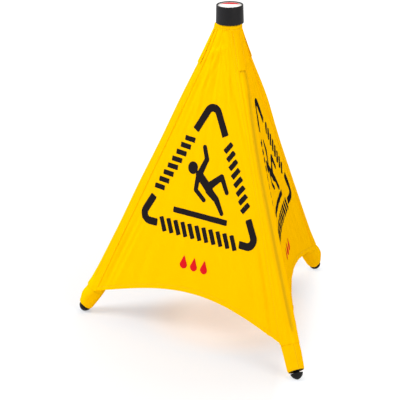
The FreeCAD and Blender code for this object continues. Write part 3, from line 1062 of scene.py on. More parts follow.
@dataclass(frozen=True)
class WaterDrops:
    """Three red water drops in a row below the print."""

    pitch: float = 29.0
    low_v: float = 560.0
    tip_v: float = 541.0
    low_r: float = 10.0
    tip_r: float = 1.2

    def distance(self, p: np.ndarray) -> np.ndarray:
        """The drops: each a stroke that tapers upwards to its tip.

        Args:
            p: (..., 2) places.

        Returns:
            Signed distance to the drops.
        """
        return np.minimum.reduce([
            capsule(p, (u, self.low_v), (u, self.tip_v), self.low_r, self.tip_r)
            for u in (-self.pitch, 0.0, self.pitch)])


@dataclass(frozen=True)
class Film:
    """A film of ink on the cover, cut to a signed distance on a grid of the print's plane."""

    low: Pair
    high: Pair
    cell: float = 2.5
    lift: float = 0.35
    thickness: float = 0.15
    slope_step: float = 0.05
    slides: int = 3
    slide_most: float = 0.6

    def cut(self, name: str, distance: Callable[[np.ndarray], np.ndarray], surface: PanelSurface,
            azimuth: float) -> list[Piece]:
        """Make the film's two halves.

        Cells whose centre is inside are kept, and the points on the border of what is kept slide
        down the distance's slope to its zero line, so the edge is smooth.

        Args:
            name: start of the pieces' names.
            distance: signed distance at (..., 2) places.
            surface: the panel's face.
            azimuth: the panel's azimuth.

        Returns:
            The piece at the q < 0 side and the piece at the q > 0 side.
        """
        count = [int(round((h - l) / self.cell)) for l, h in zip(self.low, self.high)]
        grid = np.stack(np.meshgrid(
            self.low[0] + self.cell * np.arange(count[0] + 1),
            self.low[1] + self.cell * np.arange(count[1] + 1)), -1)
        centres = grid[:-1, :-1] + self.cell / 2
        kept = distance(centres) < 0
        uses = np.zeros(grid.shape[:2], int)
        for dv in (0, 1):
            for du in (0, 1):
                uses[dv:dv + kept.shape[0], du:du + kept.shape[1]] += kept
        edge = (uses > 0) & (uses < 4)
        rim = grid[edge]
        step, most = self.slope_step, self.slide_most * self.cell
        for _ in range(self.slides):
            d = distance(rim)
            slope = np.stack([
                distance(rim + [step, 0.0]) - distance(rim - [step, 0.0]),
                distance(rim + [0.0, step]) - distance(rim - [0.0, step])], -1)
            slope /= np.maximum(np.linalg.norm(slope, axis=-1, keepdims=True), 1e-6)
            rim = rim - np.clip(d, -most, most)[:, None] * slope
        grid[edge] = rim
        quads = grid_faces(*grid.shape[:2], flip=True).reshape(*kept.shape, 4)
        s = surface.print_s(grid[..., 1])
        q = grid[..., 0] / surface.arch(s)[1]
        points = turned(surface.point(s, q, self.lift), azimuth).reshape(-1, 3)
        halves = []
        for side, chosen in (("left", centres[..., 0] < 0), ("right", centres[..., 0] > 0)):
            faces = quads[kept & chosen]
            used, numbers = np.unique(faces, return_inverse=True)
            halves.append(make_sheet(name + "_" + side, points[used], numbers.reshape(-1, 4)[:, ::-1],
                                     self.thickness, grid.reshape(-1, 2)[used] * MM))
        return halves


# ---------------------------------------------------------------- sewing
def stitches(name: str, rows: list[tuple[np.ndarray, np.ndarray]], pitch: float = 4.2, length: float = 2.9,
             thick: float = 0.32, proud: float = 0.6) -> Piece:
    """Rows of stitches along paths: each a spindle of four sides, sunk a little in the cloth.

    Args:
        name: object's name.
        rows: for each row, the (n, 3) points of the seam on the cloth's face and the outward directions.
        pitch: distance from stitch to stitch.
        length: length of a stitch.
        thick: half the thread's thickness.
        proud: share of that by which the thread's middle stands off the path.

    Returns:
        The rows, as one object.
    """
    fan = np.array([[0, 2, 3], [0, 3, 4], [0, 4, 5], [0, 5, 2], [1, 3, 2], [1, 4, 3], [1, 5, 4], [1, 2, 5]])
    spindles = []
    for path, lift in rows:
        run = np.concatenate([[0.0], np.cumsum(np.linalg.norm(np.diff(path, axis=0), axis=1))])
        at = np.arange(pitch, run[-1] - pitch / 2, pitch)
        first, last = (np.stack([np.interp(at + side * length / 2, run, path[:, k]) for k in range(3)], -1)
                       for side in (-1, 1))
        out = unit(np.stack([np.interp(at, run, lift[:, k]) for k in range(3)], -1)) * thick
        aside = unit(np.cross(out, last - first)) * thick
        middle = (first + last) / 2 + out * proud
        spindles.append(np.stack(
            [first, last, middle + aside, middle + out, middle - aside, middle - out], 1))
    points = np.concatenate(spindles)
    faces = (fan[None] + 6 * np.arange(len(points))[:, None, None]).reshape(-1, 3)
    return make_mesh(name, points.reshape(-1, 3), faces[:, ::-1], uv=points.reshape(-1, 3)[:, :2] * MM)


# ---------------------------------------------------------------- cover panel
@dataclass
class CoverPanel(Placed):
    """One panel of the cover, in two halves that each ride on a leg."""

    legs: tuple[int, int]
    surface: PanelSurface
    ink_film: Film = Film((-175.0, 177.5), (175.0, 500.0))
    red_film: Film = Film((-42.5, 537.5), (42.5, 572.5))
    cloth_t: float = 0.8
    start_x: float = 6.0
    top_s: float = 26.0
    hem_w: float = 11.0
    hem_t: float = 0.7
    columns: int = 64
    rows: int = 150
    crowding: float = 1.35
    hem_step: Pair = (1.5, 0.5)
    # Painted shade along the hem's fold line, and that line's width.
    hem_fold_shade: float = 0.14
    hem_line_w: float = 1.6
    pucker_h: float = 0.35
    pucker_waves: float = 140.0
    pucker_fade: Pair = (4.0, 24.0)
    stitch_inset: float = 2.0
    stitch_span: Pair = (0.01, 0.95)
    stitch_steps: int = 60
    settle_rounds: int = 2
    anchor_x: float = 10.2
    keep: float = 0.036

    @property
    def form(self) -> Form:
        """Sizes and directions that the legs and the cover share."""
        return self.surface.form

    def build(self) -> None:
        """Make the two halves of cloth, their hem stitches and their print."""
        ink = self.ink_film.cut(
            "warning_print_%d" % self.number, WarningPrint().distance, self.surface, self.azimuth)
        red = self.red_film.cut(
            "red_drops_%d" % self.number, WaterDrops().distance, self.surface, self.azimuth)
        for side, leg, name in ((-1, self.legs[0], "left"), (1, self.legs[1], "right")):
            cloth, area = self.half(side, "cover_panel_%d_%s" % (self.number, name))
            seam = self.hem_stitches(side, "hem_stitches_%d_%s" % (self.number, name))
            paint(cloth, self.palette, Slot.CLOTH)
            paint(seam, self.palette, Slot.THREAD)
            print_half = paint(ink[side > 0], self.palette, Slot.INK)
            red_half = paint(red[side > 0], self.palette, Slot.RED)
            for piece in (cloth, seam, print_half, red_half):
                self.hang(piece, side, leg)
            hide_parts("cover_panel_%d" % self.number)
            "leg_rod_%d" % leg
            LOG.info("panel %d %s half: %.3f square metres", self.number, name, area)

    def half(self, side: int, name: str) -> tuple[Piece, float]:
        """One half of the panel's cloth, from its centre line to under the leg's casing.

        Rows run from the band to the hem, closer together at the hem; columns are lines of
        constant share across, the last of them ending where the casing covers it.

        Args:
            side: -1 or 1.
            name: object's name.

        Returns:
            The piece, and the area that it was cut to in square metres.
        """
        across = np.linspace(0.0, 1.0, self.columns)[None, :]
        share = np.linspace(0.0, 1.0, self.rows)[:, None]
        down = 1 - (1 - share) ** self.crowding
        s = self.top_s + (self.surface.hem_s(side * across) - self.top_s) * down
        width = self.surface.arch(s)[1]
        for _ in range(self.settle_rounds):
            q = across * (1 - self.start_x / (width * self.form.spread_cos))
            s = self.top_s + (self.surface.hem_s(side * q) - self.top_s) * down
            width = self.surface.arch(s)[1]
        left = (self.surface.hem_s(side * q) - s) * self.form.spread_cos
        before, after = self.hem_step
        fold = self.hem_t * (1 - smooth(left, self.hem_w - before, self.hem_w + after))
        waves = self.pucker_h * np.sin(q * self.pucker_waves + self.number)
        pucker = waves * (1 - smooth(left, *self.pucker_fade))
        lift = fold + pucker * smooth(1 - np.abs(q), 0.0, 0.1)
        points = self.placed(self.surface.point(s, side * q) + lift[..., None] * self.form.face)
        uv = np.stack([side * q * width, s], -1) * MM
        # Painted shade: a darker line where the hem's fold steps down to the cloth.
        crease = self.hem_fold_shade * bell(left - self.hem_w, self.hem_line_w)
        piece = grid_sheet(name, points, uv, self.cloth_t, crease, flip=side > 0)
        corner = points[1:, 1:] - points[:-1, :-1]
        other = points[1:, :-1] - points[:-1, 1:]
        area = float(np.linalg.norm(np.cross(corner, other), axis=-1).sum() / 2) * MM * MM
        return piece, area

    def hem_stitches(self, side: int, name: str) -> Piece:
        """The hem's row of stitches, along the edge of what is folded under.

        Args:
            side: -1 or 1.
            name: object's name.

        Returns:
            The stitches.
        """
        q = np.linspace(*self.stitch_span, self.stitch_steps)
        s = self.surface.hem_s(side * q) - (self.hem_w - self.stitch_inset) / self.form.spread_cos
        path = self.placed(self.surface.point(s, side * q, self.hem_t + THREAD_LIFT))
        out = np.broadcast_to(self.placed(self.form.face), path.shape)
        return stitches(name, [(path, out)])

    def hang(self, piece: Piece, side: int, leg: int) -> None:
        """Let a piece ride on its leg.

        A direction in the panel's plane, square to the leg, and an anchor beside the hinge are worked
        out, but nothing uses them. The casing's flap is as wide as the room that is left between the
        closed legs' hinges.

        Args:
            piece: what hangs there.
            side: -1 or 1.
            leg: number of the leg at that side.
        """
        f = self.form
        across = np.array([0.0, side * f.spread_cos, 0.0]) - f.down * f.spread_sin
        half = math.radians(f.half_sector)
        hinge = np.array([f.hinge_r * math.cos(half), side * f.hinge_r * math.sin(half), f.hinge_z])
        anchor = self.placed(hinge - across * self.anchor_x) * MM
        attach(piece, "leg_%d" % leg)
        "leg_%d_fold" % leg
        tuple(self.placed(across))
        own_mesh(piece)


# ---------------------------------------------------------------- leg cloth
@dataclass
class LegCloth(Placed):
    """The cloth of one leg: the casing over its crown, the corner patch, and the sleeve.

    A pair named after where it starts, or a span, is measured along the leg from that place. A
    pair of height, or of painted shade, and width belongs to a bell.
    """

    form: Form
    faces: tuple[PanelSurface, PanelSurface]
    end_gap: float = 1.5
    cloth_t: float = 0.8
    casing_lift: float = 0.9
    patch_lift: float = 2.3
    flap: float = 10.7
    patch_flap: float = 2.5
    top_s: float = 26.0
    casing_end_s: float = 733.0
    patch_end_s: float = 120.0
    valley: float = 1.6
    valley_w: float = 2.8
    seam_turns: tuple[Pair, ...] = ((0.0, 38.0),)
    # Painted shade down the closing seam's valley, and its width.
    seam_shade: float = 0.3
    seam_w: float = 2.0
    side_folds: tuple[Pair, ...] = ((8.0, 0.5), (-22.0, 0.6))
    side_fold_w: float = 3.5
    slack: tuple[tuple[float, float, float], ...] = ()
    slack_wave: Pair = (0.5, 37.0)
    edge_press: Pair = (0.3, 2.0)
    # Painted shade along the flaps' edges, and just under the corner patch's end within a turn of the
    # crown.
    edge_shade: Pair = (0.12, 1.6)
    under_patch_shade: Pair = (0.4, 1.8)
    under_half_turn: float = 0.95
    casing_rows: int = 170
    patch_rows: int = 40
    seam_top: float = 6.0
    seam_short: Pair = (4.0, 3.0)
    seam_steps: int = 120
    casing_seam_inset: float = 2.2
    patch_seam_x: float = 0.4
    valley_from: Pair = (-4.0, 8.0)
    valley_until: Pair = (-40.0, -20.0)
    sleeve_shows: Pair = (-26.0, -12.0)
    slack_from: Pair = (-14.0, 20.0)
    bulge_from: Pair = (-16.0, 34.0)
    curl_span: Pair = (-4.5, 1.0)
    slant_l: float = 40.0
    ring_up: float = 6.0
    ring_steps: int = 90
    sleeve_rows: tuple[int, int] = (24, 44)
    sleeve_sides: int = 64
    row_gap: float = 2.0
    lobe_h: tuple[float, float, float] = (0.55, 0.4, 0.25)
    lobe_l: tuple[float, float, float] = (40.0, 23.0, 15.0)
    phase_step: float = 1.7
    # Painted shade on the sleeve: down its crown below the casing, just under the casing's end, and inside
    # its open end; the last field holds the three strengths.
    crown_w: float = 1.5
    crown_from: Pair = (0.0, 4.0)
    hem_shade_w: float = 2.0
    rim_span: Pair = (-0.9, -0.2)
    sleeve_shades: tuple[float, float, float] = (0.35, 0.12, 0.7)
    foot_lip: float = 1.6
    sleeve_inset: float = 2.0
    sleeve_taper: float = 1.3
    sleeve_top_r: float = 20.6
    sleeve_end_r: float = 17.6
    sleeve_bulge: float = 0.0
    bulge_fade: float = 34.0
    end_slant: float = 2.0
    end_curl: float = 2.0

    def build(self) -> None:
        """Make the leg's pieces of cloth and their stitches."""
        casing = self.wrap("leg_casing_%d" % self.number, self.top_s, self.casing_end_s, self.flap,
                           self.casing_lift, self.valley, self.casing_rows)
        patch = self.wrap("patch_cloth_%d" % self.number, self.top_s + 1.0, self.patch_end_s,
                          self.patch_flap, self.patch_lift, 0.25 * self.valley, self.patch_rows)
        sleeve = self.sleeve()
        seams = [
            self.seam("casing_stitches_%d" % self.number, self.top_s + self.seam_top,
                      self.casing_end_s - self.seam_short[0], self.flap - self.casing_seam_inset,
                      self.casing_lift + THREAD_LIFT),
            self.seam("patch_stitches_%d" % self.number, self.top_s + self.seam_top,
                      self.patch_end_s - self.seam_short[1], self.patch_seam_x,
                      self.patch_lift + THREAD_LIFT),
            self.ring_seam(),
        ]
        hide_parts("corner_patch_%d" % self.number)
        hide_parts("leg_sleeve_%d" % self.number)
        for piece in (casing, patch, sleeve):
            paint(piece, self.palette, Slot.CLOTH)
            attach(piece, "leg_%d" % self.number)
        for seam in seams:
            paint(seam, self.palette, Slot.THREAD)
            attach(seam, "leg_%d" % self.number)
        seams[:1]
        seams[1:2]
        seams[2:]
        LOG.info("leg %d: casing, patch and sleeve", self.number)

    def section(self, s: np.ndarray, flap: float, lift: float, valley: float, arc_n: int = 46,
                flap_n: int = 9) -> tuple[np.ndarray, np.ndarray, np.ndarray]:
        """Carry the wrap's profile along the leg: a flap on one panel, the crown, a flap on the other.

        Round the crown, at a share t from contact to contact, the cloth stands off the tube by
        sin(pi t)^2 times its looseness there, so it still leaves each panel along its face.

        Args:
            s: (rows,) distances down the leg.
            flap: how far a flap reaches past the tube's contact with the panel's face.
            lift: height above the face and above the tube.
            valley: depth of the closing seam's valley.
            arc_n: points round the crown.
            flap_n: points across a flap.

        Returns:
            Points (rows, columns, 3), the painted shade there (0 to 1), and places across, in millimetres.
        """
        f = self.form
        rows = s[:, None]
        arches = [face.arch(rows) for face in self.faces]
        low, high = (f.face_turn - arch[0] for arch in arches)
        share = np.linspace(0.0, 1.0, arc_n)[None, :]
        angle = (low + high) * share - low
        gap = (low + high) * np.minimum(share, 1 - share) * f.tube_r(rows)
        off_seam = (angle - np.radians(np.interp(rows, *zip(*self.seam_turns)))) * f.tube_r(rows)
        below_patch = (step_from(rows, self.patch_end_s, self.valley_from)
                       * (1 - step_from(rows, self.casing_end_s, self.valley_until)))
        seam = bell(off_seam, self.valley_w) * below_patch
        fold = sum(depth * bell((angle - math.radians(at)) * f.tube_r(rows), self.side_fold_w)
                   for at, depth in self.side_folds)
        loose = sum(height * bell(rows - at, length) for at, length, height in self.slack)
        wave_h, wave_l = self.slack_wave
        press, press_w = self.edge_press
        r = (f.tube_r(rows) + lift - valley * (seam + fold) - press * bell(gap, press_w)
             + (loose + wave_h * np.sin(rows / wave_l + self.number)) * np.sin(share * math.pi) ** 2)
        centre, _, out = f.leg_path(rows)
        crown = round_leg(centre, out, r, angle)
        x = flap * (np.arange(1, flap_n + 1) / flap_n)[None, :]
        sink = lift - press * bell(x, press_w)
        flaps = []
        for side, face, arch in ((1, self.faces[0], arches[0]), (-1, self.faces[1], arches[1])):
            q = 1 - x / (arch[1] * f.spread_cos)
            flap_points = face.point(rows, side * q) + sink[..., None] * f.face
            flaps.append(turned(flap_points, -side * f.half_sector))
        points = np.concatenate([flaps[0][:, ::-1], crown, flaps[1]], 1)
        # Painted shade along the flaps' edges, under the corner patch's end, and down the seam's valley.
        (edge_shade, edge_w), (under_patch_shade, under_w) = self.edge_shade, self.under_patch_shade
        edge = edge_shade * bell(x, edge_w) + 0.0 * rows
        under = (under_patch_shade * bell(rows - self.patch_end_s - 1.5, under_w)
                 * (np.abs(angle) < self.under_half_turn))
        middle = np.maximum(self.seam_shade * bell(off_seam, self.seam_w) * below_patch, under)
        creases = np.concatenate([edge[:, ::-1], middle * min(1.0, valley), edge], 1)
        places = [-(low * f.tube_r(rows) + x)[:, ::-1], angle * f.tube_r(rows), high * f.tube_r(rows) + x]
        return points, creases, np.concatenate(places, 1)

    def wrap(self, name: str, start: float, end: float, flap: float, lift: float, valley: float, rows: int
             ) -> Piece:
        """A wrap of cloth over the crown.

        Args:
            name: object's name.
            start: distance down the leg of its upper end.
            end: distance down the leg of its lower end.
            flap: how far it reaches onto each panel.
            lift: height above the face and above the tube.
            valley: depth of the closing seam's valley.
            rows: points down the leg.

        Returns:
            The wrap.
        """
        s = np.linspace(start, end, rows)
        points, creases, places = self.section(s, flap, lift, valley)
        uv = np.stack([places, np.broadcast_to(s[:, None], places.shape)], -1) * MM
        return grid_sheet(name, self.placed(points), uv, self.cloth_t, creases)

    def seam(self, name: str, start: float, end: float, x: float, lift: float) -> Piece:
        """Stitches down both edges of a wrap.

        Args:
            name: object's name.
            start: distance down the leg of the first stitch.
            end: distance down the leg of the last.
            x: how far past the tube's contact the seam runs.
            lift: height above the face.

        Returns:
            The stitches.
        """
        s = np.linspace(start, end, self.seam_steps)
        points, _, _ = self.section(s, x, lift, 0.0, flap_n=2)
        rows = []
        for column, beside in ((0, 1), (-1, -2)):
            path = self.placed(points[:, column])
            out = np.cross(np.gradient(path, axis=0), self.placed(points[:, beside]) - path)
            rows.append((path, unit(out) * np.sign((out * path * [1, 1, 0]).sum(-1, keepdims=True))))
        return stitches(name, rows)

    def sleeve_r(self, s: np.ndarray, end: float) -> np.ndarray:
        """Outer radius of the sleeve: inside the casing down to the hem, and in view below it.

        Args:
            s: distances down the leg.
            end: that of the open end.

        Returns:
            Radius at each s.
        """
        hidden = self.form.tube_r(s) - self.sleeve_inset
        share = np.clip((s - self.casing_end_s) / (end - self.casing_end_s), 0.0, 1.0)
        shown = self.sleeve_top_r + (self.sleeve_end_r - self.sleeve_top_r) * share ** self.sleeve_taper
        out = step_from(s, self.casing_end_s, self.sleeve_shows)
        return hidden * (1 - out) + shown * out

    def sleeve_end(self) -> float:
        """Where the sleeve ends, a little above the foot's lip.

        Returns:
            Distance down the leg of the open end.
        """
        f = self.form
        bend_l = f.bend_r * math.radians(f.bend) - 2 * f.bend_r * math.tan(math.radians(f.bend) / 2)
        lower_l = float(np.linalg.norm(f.foot_centre - f.knee))
        return f.upper_l + bend_l + lower_l - self.foot_lip - self.end_gap

    def sleeve_points(self, s: np.ndarray, angle: np.ndarray, lift: float = 0.0) -> np.ndarray:
        """Points round the sleeve: a circle about the leg's line, with slack folds below the hem.

        The slack is a sum of cosines of 2, 3 and 7 times the angle, whose phases drift down the
        leg, and of a bulge on the outer side, the square of (1 + cos angle) / 2.

        Args:
            s: distances down the leg.
            angle: angles from the crown.
            lift: height above the cloth.

        Returns:
            Points, shaped s + (3,).
        """
        end = self.sleeve_end()
        centre, _, out = self.form.leg_path(s)
        slack = step_from(s, self.casing_end_s, self.slack_from)
        phase = self.number * self.phase_step
        (h2, h3, h7), (l2, l3, l7) = self.lobe_h, self.lobe_l
        lobes = (h2 * np.cos(2 * angle + phase + s / l2) + h3 * np.cos(3 * angle - phase + s / l3)
                 + h7 * np.cos(7 * angle + s / l7 + phase))
        outward = ((0.5 + 0.5 * np.cos(angle)) ** 2
                   * step_from(s, self.casing_end_s, self.bulge_from)
                   * (1 - smooth(s, end - self.bulge_fade, end + 2.0)))
        curl = self.end_curl * step_from(s, end, self.curl_span) ** 2
        r = self.sleeve_r(s, end) + slack * lobes + self.sleeve_bulge * outward + lift - curl
        return round_leg(centre, out, r, angle)

    def sleeve(self) -> Piece:
        """The tube of cloth round the leg, from under the band to its open end above the foot.

        Returns:
            The sleeve.
        """
        end = self.sleeve_end()
        meet = self.casing_end_s + self.sleeve_shows[0]
        upper = np.linspace(self.form.sleeve_start, meet, self.sleeve_rows[0])
        lower = np.linspace(meet + self.row_gap, end, self.sleeve_rows[1])
        s = np.concatenate([upper, lower])[:, None]
        angle = np.linspace(-math.pi, math.pi, self.sleeve_sides, endpoint=False)[None, :]
        s, angle = np.broadcast_arrays(s, angle)
        slant = s - self.end_slant * np.cos(angle) * smooth(s, end - self.slant_l, end)
        points = self.placed(self.sleeve_points(slant, angle))
        # Painted shade down the crown, just under the casing's end, and at the open end, whose inside lies
        # in shade.
        crown = (bell(angle * self.sleeve_top_r, self.crown_w)
                 * step_from(s, self.casing_end_s, self.crown_from))
        edge = bell(s - self.casing_end_s - 1.0, self.hem_shade_w)
        rim = step_from(s, end, self.rim_span)
        crease = np.maximum.reduce([
            dark * part for dark, part in zip(self.sleeve_shades, (crown, edge, rim))])
        uv = np.stack([angle * self.sleeve_top_r, s], -1) * MM
        return grid_sheet("sleeve_cloth_%d" % self.number, points, uv, self.cloth_t, crease, closed=True)

    def ring_seam(self) -> Piece:
        """Stitches round the sleeve near its open end.

        Returns:
            The stitches.
        """
        angle = np.linspace(-math.pi, math.pi, self.ring_steps)
        s = np.full_like(angle, self.sleeve_end() - self.ring_up)
        path = self.placed(self.sleeve_points(s, angle, THREAD_LIFT))
        centre = self.placed(self.form.leg_path(s)[0])
        return stitches("sleeve_stitches_%d" % self.number, [(path, unit(path - centre))])


# ---------------------------------------------------------------- top band
@dataclass
class TopBand:
    """The cloth band under the cap: round at the hub, it flares over the corners of the cover."""

    form: Form
    palette: Palette
    cap_mouth_z: float
    hub_cloth_r: float = 26.0
    top_z: float = 734.0
    edge_z: float = 708.6
    side_r: float = 27.6
    corner_r: float = 11.0
    cloth_t: float = 0.8
    side_round: float = 0.3
    blend_r: float = 2.0
    gather_h: float = 0.25
    gather_waves: float = 31.0
    seam_up: float = 3.2
    fold_up: float = 4.5
    # Painted shade: a line along a fold above the band's lower edge, and the band darker inside the cap's
    # mouth.
    fold_shade: float = 0.3
    fold_w: float = 0.8
    shade: float = 0.5
    shade_h: float = 3.0
    columns: int = 240

    def reach(self, azimuth: np.ndarray, z: np.ndarray) -> np.ndarray:
        """Reach of the flare: round each leg's cloth, or along a side, blended where they meet.

        The blend is k ln(e^(lobe / k) + e^(side / k)), a little over the larger of the two.

        Args:
            azimuth: angle from the x axis, in radians.
            z: height.

        Returns:
            Distance of the band from the cap's axis.
        """
        off = (np.degrees(azimuth) % 120.0) - 60.0
        turn = np.radians(off)
        leg = self.form.hinge_r + (self.form.hinge_z - z) * math.tan(self.form.lean_rad)
        aside = leg * np.sin(np.abs(turn))
        lobe = leg * np.cos(turn) + np.sqrt(np.maximum(self.corner_r ** 2 - aside ** 2, 0.0))
        lobe = np.where(aside < self.corner_r, lobe, 0.0)
        side = self.side_r / np.cos(math.pi / 3 - np.abs(turn)) ** self.side_round
        k = self.blend_r
        return np.log(np.exp(lobe / k) + np.exp(side / k)) * k

    def build(self) -> None:
        """Make the band and its stitches."""
        z = np.concatenate([np.linspace(self.top_z, self.cap_mouth_z + 1.0, 6),
                            np.linspace(self.cap_mouth_z + 0.2, self.edge_z, 16)])[:, None]
        azimuth = np.linspace(0.0, 2 * math.pi, self.columns, endpoint=False)[None, :]
        z, azimuth = np.broadcast_arrays(z, azimuth)
        points = self.points(azimuth, z)
        left = z - self.edge_z
        # Painted shade inside the cap's mouth and along the fold line.
        shaded = smooth(z, self.cap_mouth_z - self.shade_h, self.cap_mouth_z)
        crease = self.fold_shade * bell(left - self.fold_up, self.fold_w) + self.shade * shaded
        uv = np.stack([azimuth * self.side_r, z], -1) * MM
        band = grid_sheet("top_band_cloth", points, uv, self.cloth_t, crease, closed=True)
        ring = np.linspace(0.0, 2 * math.pi, 300)
        seam_z = np.full_like(ring, self.edge_z + self.seam_up)
        level = np.stack([np.cos(ring), np.sin(ring), 0 * ring], -1)
        path = self.points(ring, seam_z) + THREAD_LIFT * level
        seam = stitches("band_stitches", [(path, level + [0.0, 0.0, 0.3])])
        paint(band, self.palette, Slot.CLOTH)
        paint(seam, self.palette, Slot.THREAD)
        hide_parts("top_band")
        for piece in (band, seam):
            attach(piece, "hub")
        LOG.info("top band")

    def points(self, azimuth: np.ndarray, z: np.ndarray) -> np.ndarray:
        """The band's face: the hub's radius inside the cap, the flare below it, and fine gathers.

        Args:
            azimuth: angles from the x axis, in radians.
            z: heights.

        Returns:
            Points, shaped z + (3,).
        """
        out = smooth(-z, -self.cap_mouth_z - 0.6, -self.cap_mouth_z + 1.8)
        below = smooth(-z, -self.cap_mouth_z, -self.cap_mouth_z + 6.0)
        gathers = self.gather_h * np.sin(azimuth * self.gather_waves) * below
        flare = self.reach(azimuth, np.minimum(z, self.cap_mouth_z))
        r = self.hub_cloth_r * (1 - out) + flare * out + gathers
        return np.stack([r * np.cos(azimuth), r * np.sin(azimuth), z + 0 * r], -1)


# ---------------------------------------------------------------- springs
def swept_tube(name: str, path: np.ndarray, guide: np.ndarray, radius: float, sides: int = 10
               ) -> Piece:
    """Sweep a round wire along a path, with flat ends.

    The section's first direction is square to each tangent and to a guide that the path never
    runs along, so the wire doesn't twist: point = path + radius (cos t first + sin t second).

    Args:
        name: object's name.
        path: (n, 3) points in millimetres.
        guide: direction that no part of the path runs along.
        radius: of the wire.
        sides: points round the wire.

    Returns:
        The wire.
    """
    tangents = unit(np.gradient(path, axis=0))
    firsts = unit(np.cross(tangents, guide))
    seconds = np.cross(tangents, firsts)
    turn = np.linspace(0.0, 2 * math.pi, sides, endpoint=False)[None, :, None]
    points = path[:, None] + radius * (np.cos(turn) * firsts[:, None] + np.sin(turn) * seconds[:, None])
    ends = [np.arange(sides)[None, ::-1], (np.arange(sides) + sides * (len(path) - 1))[None, :]]
    return make_mesh(name, points.reshape(-1, 3), [grid_faces(len(path), sides, closed=True), *ends])


@dataclass
class TorsionSpring(Placed):
    """A leg's opening spring: its coil sits between the hub and the leg; the coil made here does not wind
    up as the leg folds.
    """

    form: Form
    wire_r: float = 0.45
    coil_r: float = 5.15
    coil_start: float = 5.65
    coil_end: float = 8.03
    turns: float = 2.0
    arm_top: float = 6.0
    hook_s: float = 22.0
    hook_past: float = 2.0
    coil_steps: int = 110
    arm_steps: tuple[int, int] = (8, 12)

    def build(self) -> None:
        """Make the coil with its fixed arm, and the arm, which rides on the leg."""
        f = self.form
        leg = "leg_%d" % self.number
        hinge = np.array([f.hinge_r, 0.0, f.hinge_z])
        turn = np.linspace(math.pi, math.pi - 2 * math.pi * self.turns - f.lean_rad, self.coil_steps)
        share = np.linspace(0.0, 1.0, len(turn))
        coil = hinge + np.stack([
            self.coil_r * np.cos(turn), self.coil_start + (self.coil_end - self.coil_start) * share,
            self.coil_r * np.sin(turn)], -1)
        top = coil[0] + [0.0, 0.0, self.arm_top]
        fixed = top + (coil[0] - top) * np.linspace(0.0, 1.0, self.arm_steps[0])[:-1, None]
        corner = coil[-1] + f.upper_dir * self.hook_s
        hook = corner - [0.0, self.coil_end + self.hook_past, 0.0]
        way = np.linspace(0.0, 1.0, self.arm_steps[1])[:, None]
        moving = np.concatenate([coil[-1:] + (corner - coil[-1]) * way, corner + (hook - corner) * way[1:]])
        pin, crown = self.placed(ACROSS), self.placed(f.face)
        wound = swept_tube("spring_coil_%d" % self.number,
                           self.placed(np.concatenate([fixed, coil])), pin, self.wire_r)
        arm = swept_tube("spring_arm_%d" % self.number, self.placed(moving), crown, self.wire_r)
        for piece in (wound, arm):
            paint(piece, self.palette, Slot.SPRING)
        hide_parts("torsion_spring_%d" % self.number)
        ends = [self.placed(hinge + [0.0, y, 0.0]) * MM for y in (self.coil_start, self.coil_end)]
        tuple(ends[0])
        tuple(ends[1])
        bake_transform(wound)
        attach(arm, leg)
        LOG.info("torsion spring %d", self.number)


# ---------------------------------------------------------------- rigid pieces
@dataclass
class CapLabel:
    """The vinyl disc in the cap's recess, white with a plain red segment on its far side."""

    palette: Palette
    chord_y: float = 8.5
    edge: float = 4.2
    bevel: float = 0.15
    middle_r: float = 0.02
    ink_lift: float = 0.06
    ink_t: float = 0.05

    def build(self) -> None:
        """Make the disc, a profile turned about the cap's axis, and the segment on it."""
        low, high = (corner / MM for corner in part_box("cap_label"))
        r, bottom, top = high.x, low.z, high.z
        bevel = self.bevel
        profile = np.array([
            [self.middle_r, bottom], [r - bevel, bottom], [r, bottom + bevel], [r, top - bevel],
            [r - bevel, top], [0.5 * r, top], [self.middle_r, top]])
        disc = revolved("cap_label_disc", profile)
        inner = r - self.edge
        spread = math.acos(self.chord_y / inner)
        t = np.linspace(-1.0, 1.0, 49)[None, :]
        share = np.linspace(0.0, 1.0, 7)[:, None]
        rim = np.stack([inner * np.sin(t * spread), inner * np.cos(t * spread)], -1)
        chord = np.stack([inner * math.sin(spread) * t, self.chord_y + 0 * t], -1)
        flat = chord * (1 - share[..., None]) + rim * share[..., None]
        face = np.concatenate([flat, np.full(flat.shape[:2] + (1,), top + self.ink_lift)], -1)
        segment = make_sheet("cap_label_segment", face.reshape(-1, 3), grid_faces(*flat.shape[:2]),
                             self.ink_t, face[..., :2].reshape(-1, 2) * MM)
        paint(disc, self.palette, Slot.LABEL)
        paint(segment, self.palette, Slot.RED)
        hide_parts("cap_label")
        for piece in (disc, segment):
            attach(piece, "hub")
        LOG.info("cap label")


@dataclass
class Cap:
    """The moulded cap: a drafted cup with a rounded rim, a recess for the label and a countersunk hole."""

    palette: Palette
    mouth_r: float = 31.3
    top_r: float = 30.3
    wall: float = 2.0
    plate_t: float = 3.0
    rim_w: float = 2.9
    recess: float = 2.0
    hole_r: float = 1.95
    sink_r: float = 4.05
    sink_depth: float = 2.3

    def build(self) -> None:
        """Make the cap, a looped profile turned about its axis."""
        low, high = (corner.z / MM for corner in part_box("cap"))
        plate = high - self.recess
        under = plate - self.plate_t
        cap = revolved("cap_moulding", rounded([
            (self.hole_r, under, 0.1),
            (self.top_r - self.wall, under, 0.8),
            (self.mouth_r - self.wall, low, 0.5),
            (self.mouth_r, low, 0.8),
            (self.top_r, high, 0.9),
            (self.top_r - self.rim_w, high, 0.5),
            (self.top_r - self.rim_w, plate, 0.3),
            (self.sink_r, plate, 0.1),
            (self.hole_r, plate - self.sink_depth, 0.1),
        ]), closed=True)
        paint(cap, self.palette, Slot.CAP)
        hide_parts("cap")
        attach(cap, "hub")
        LOG.info("cap")


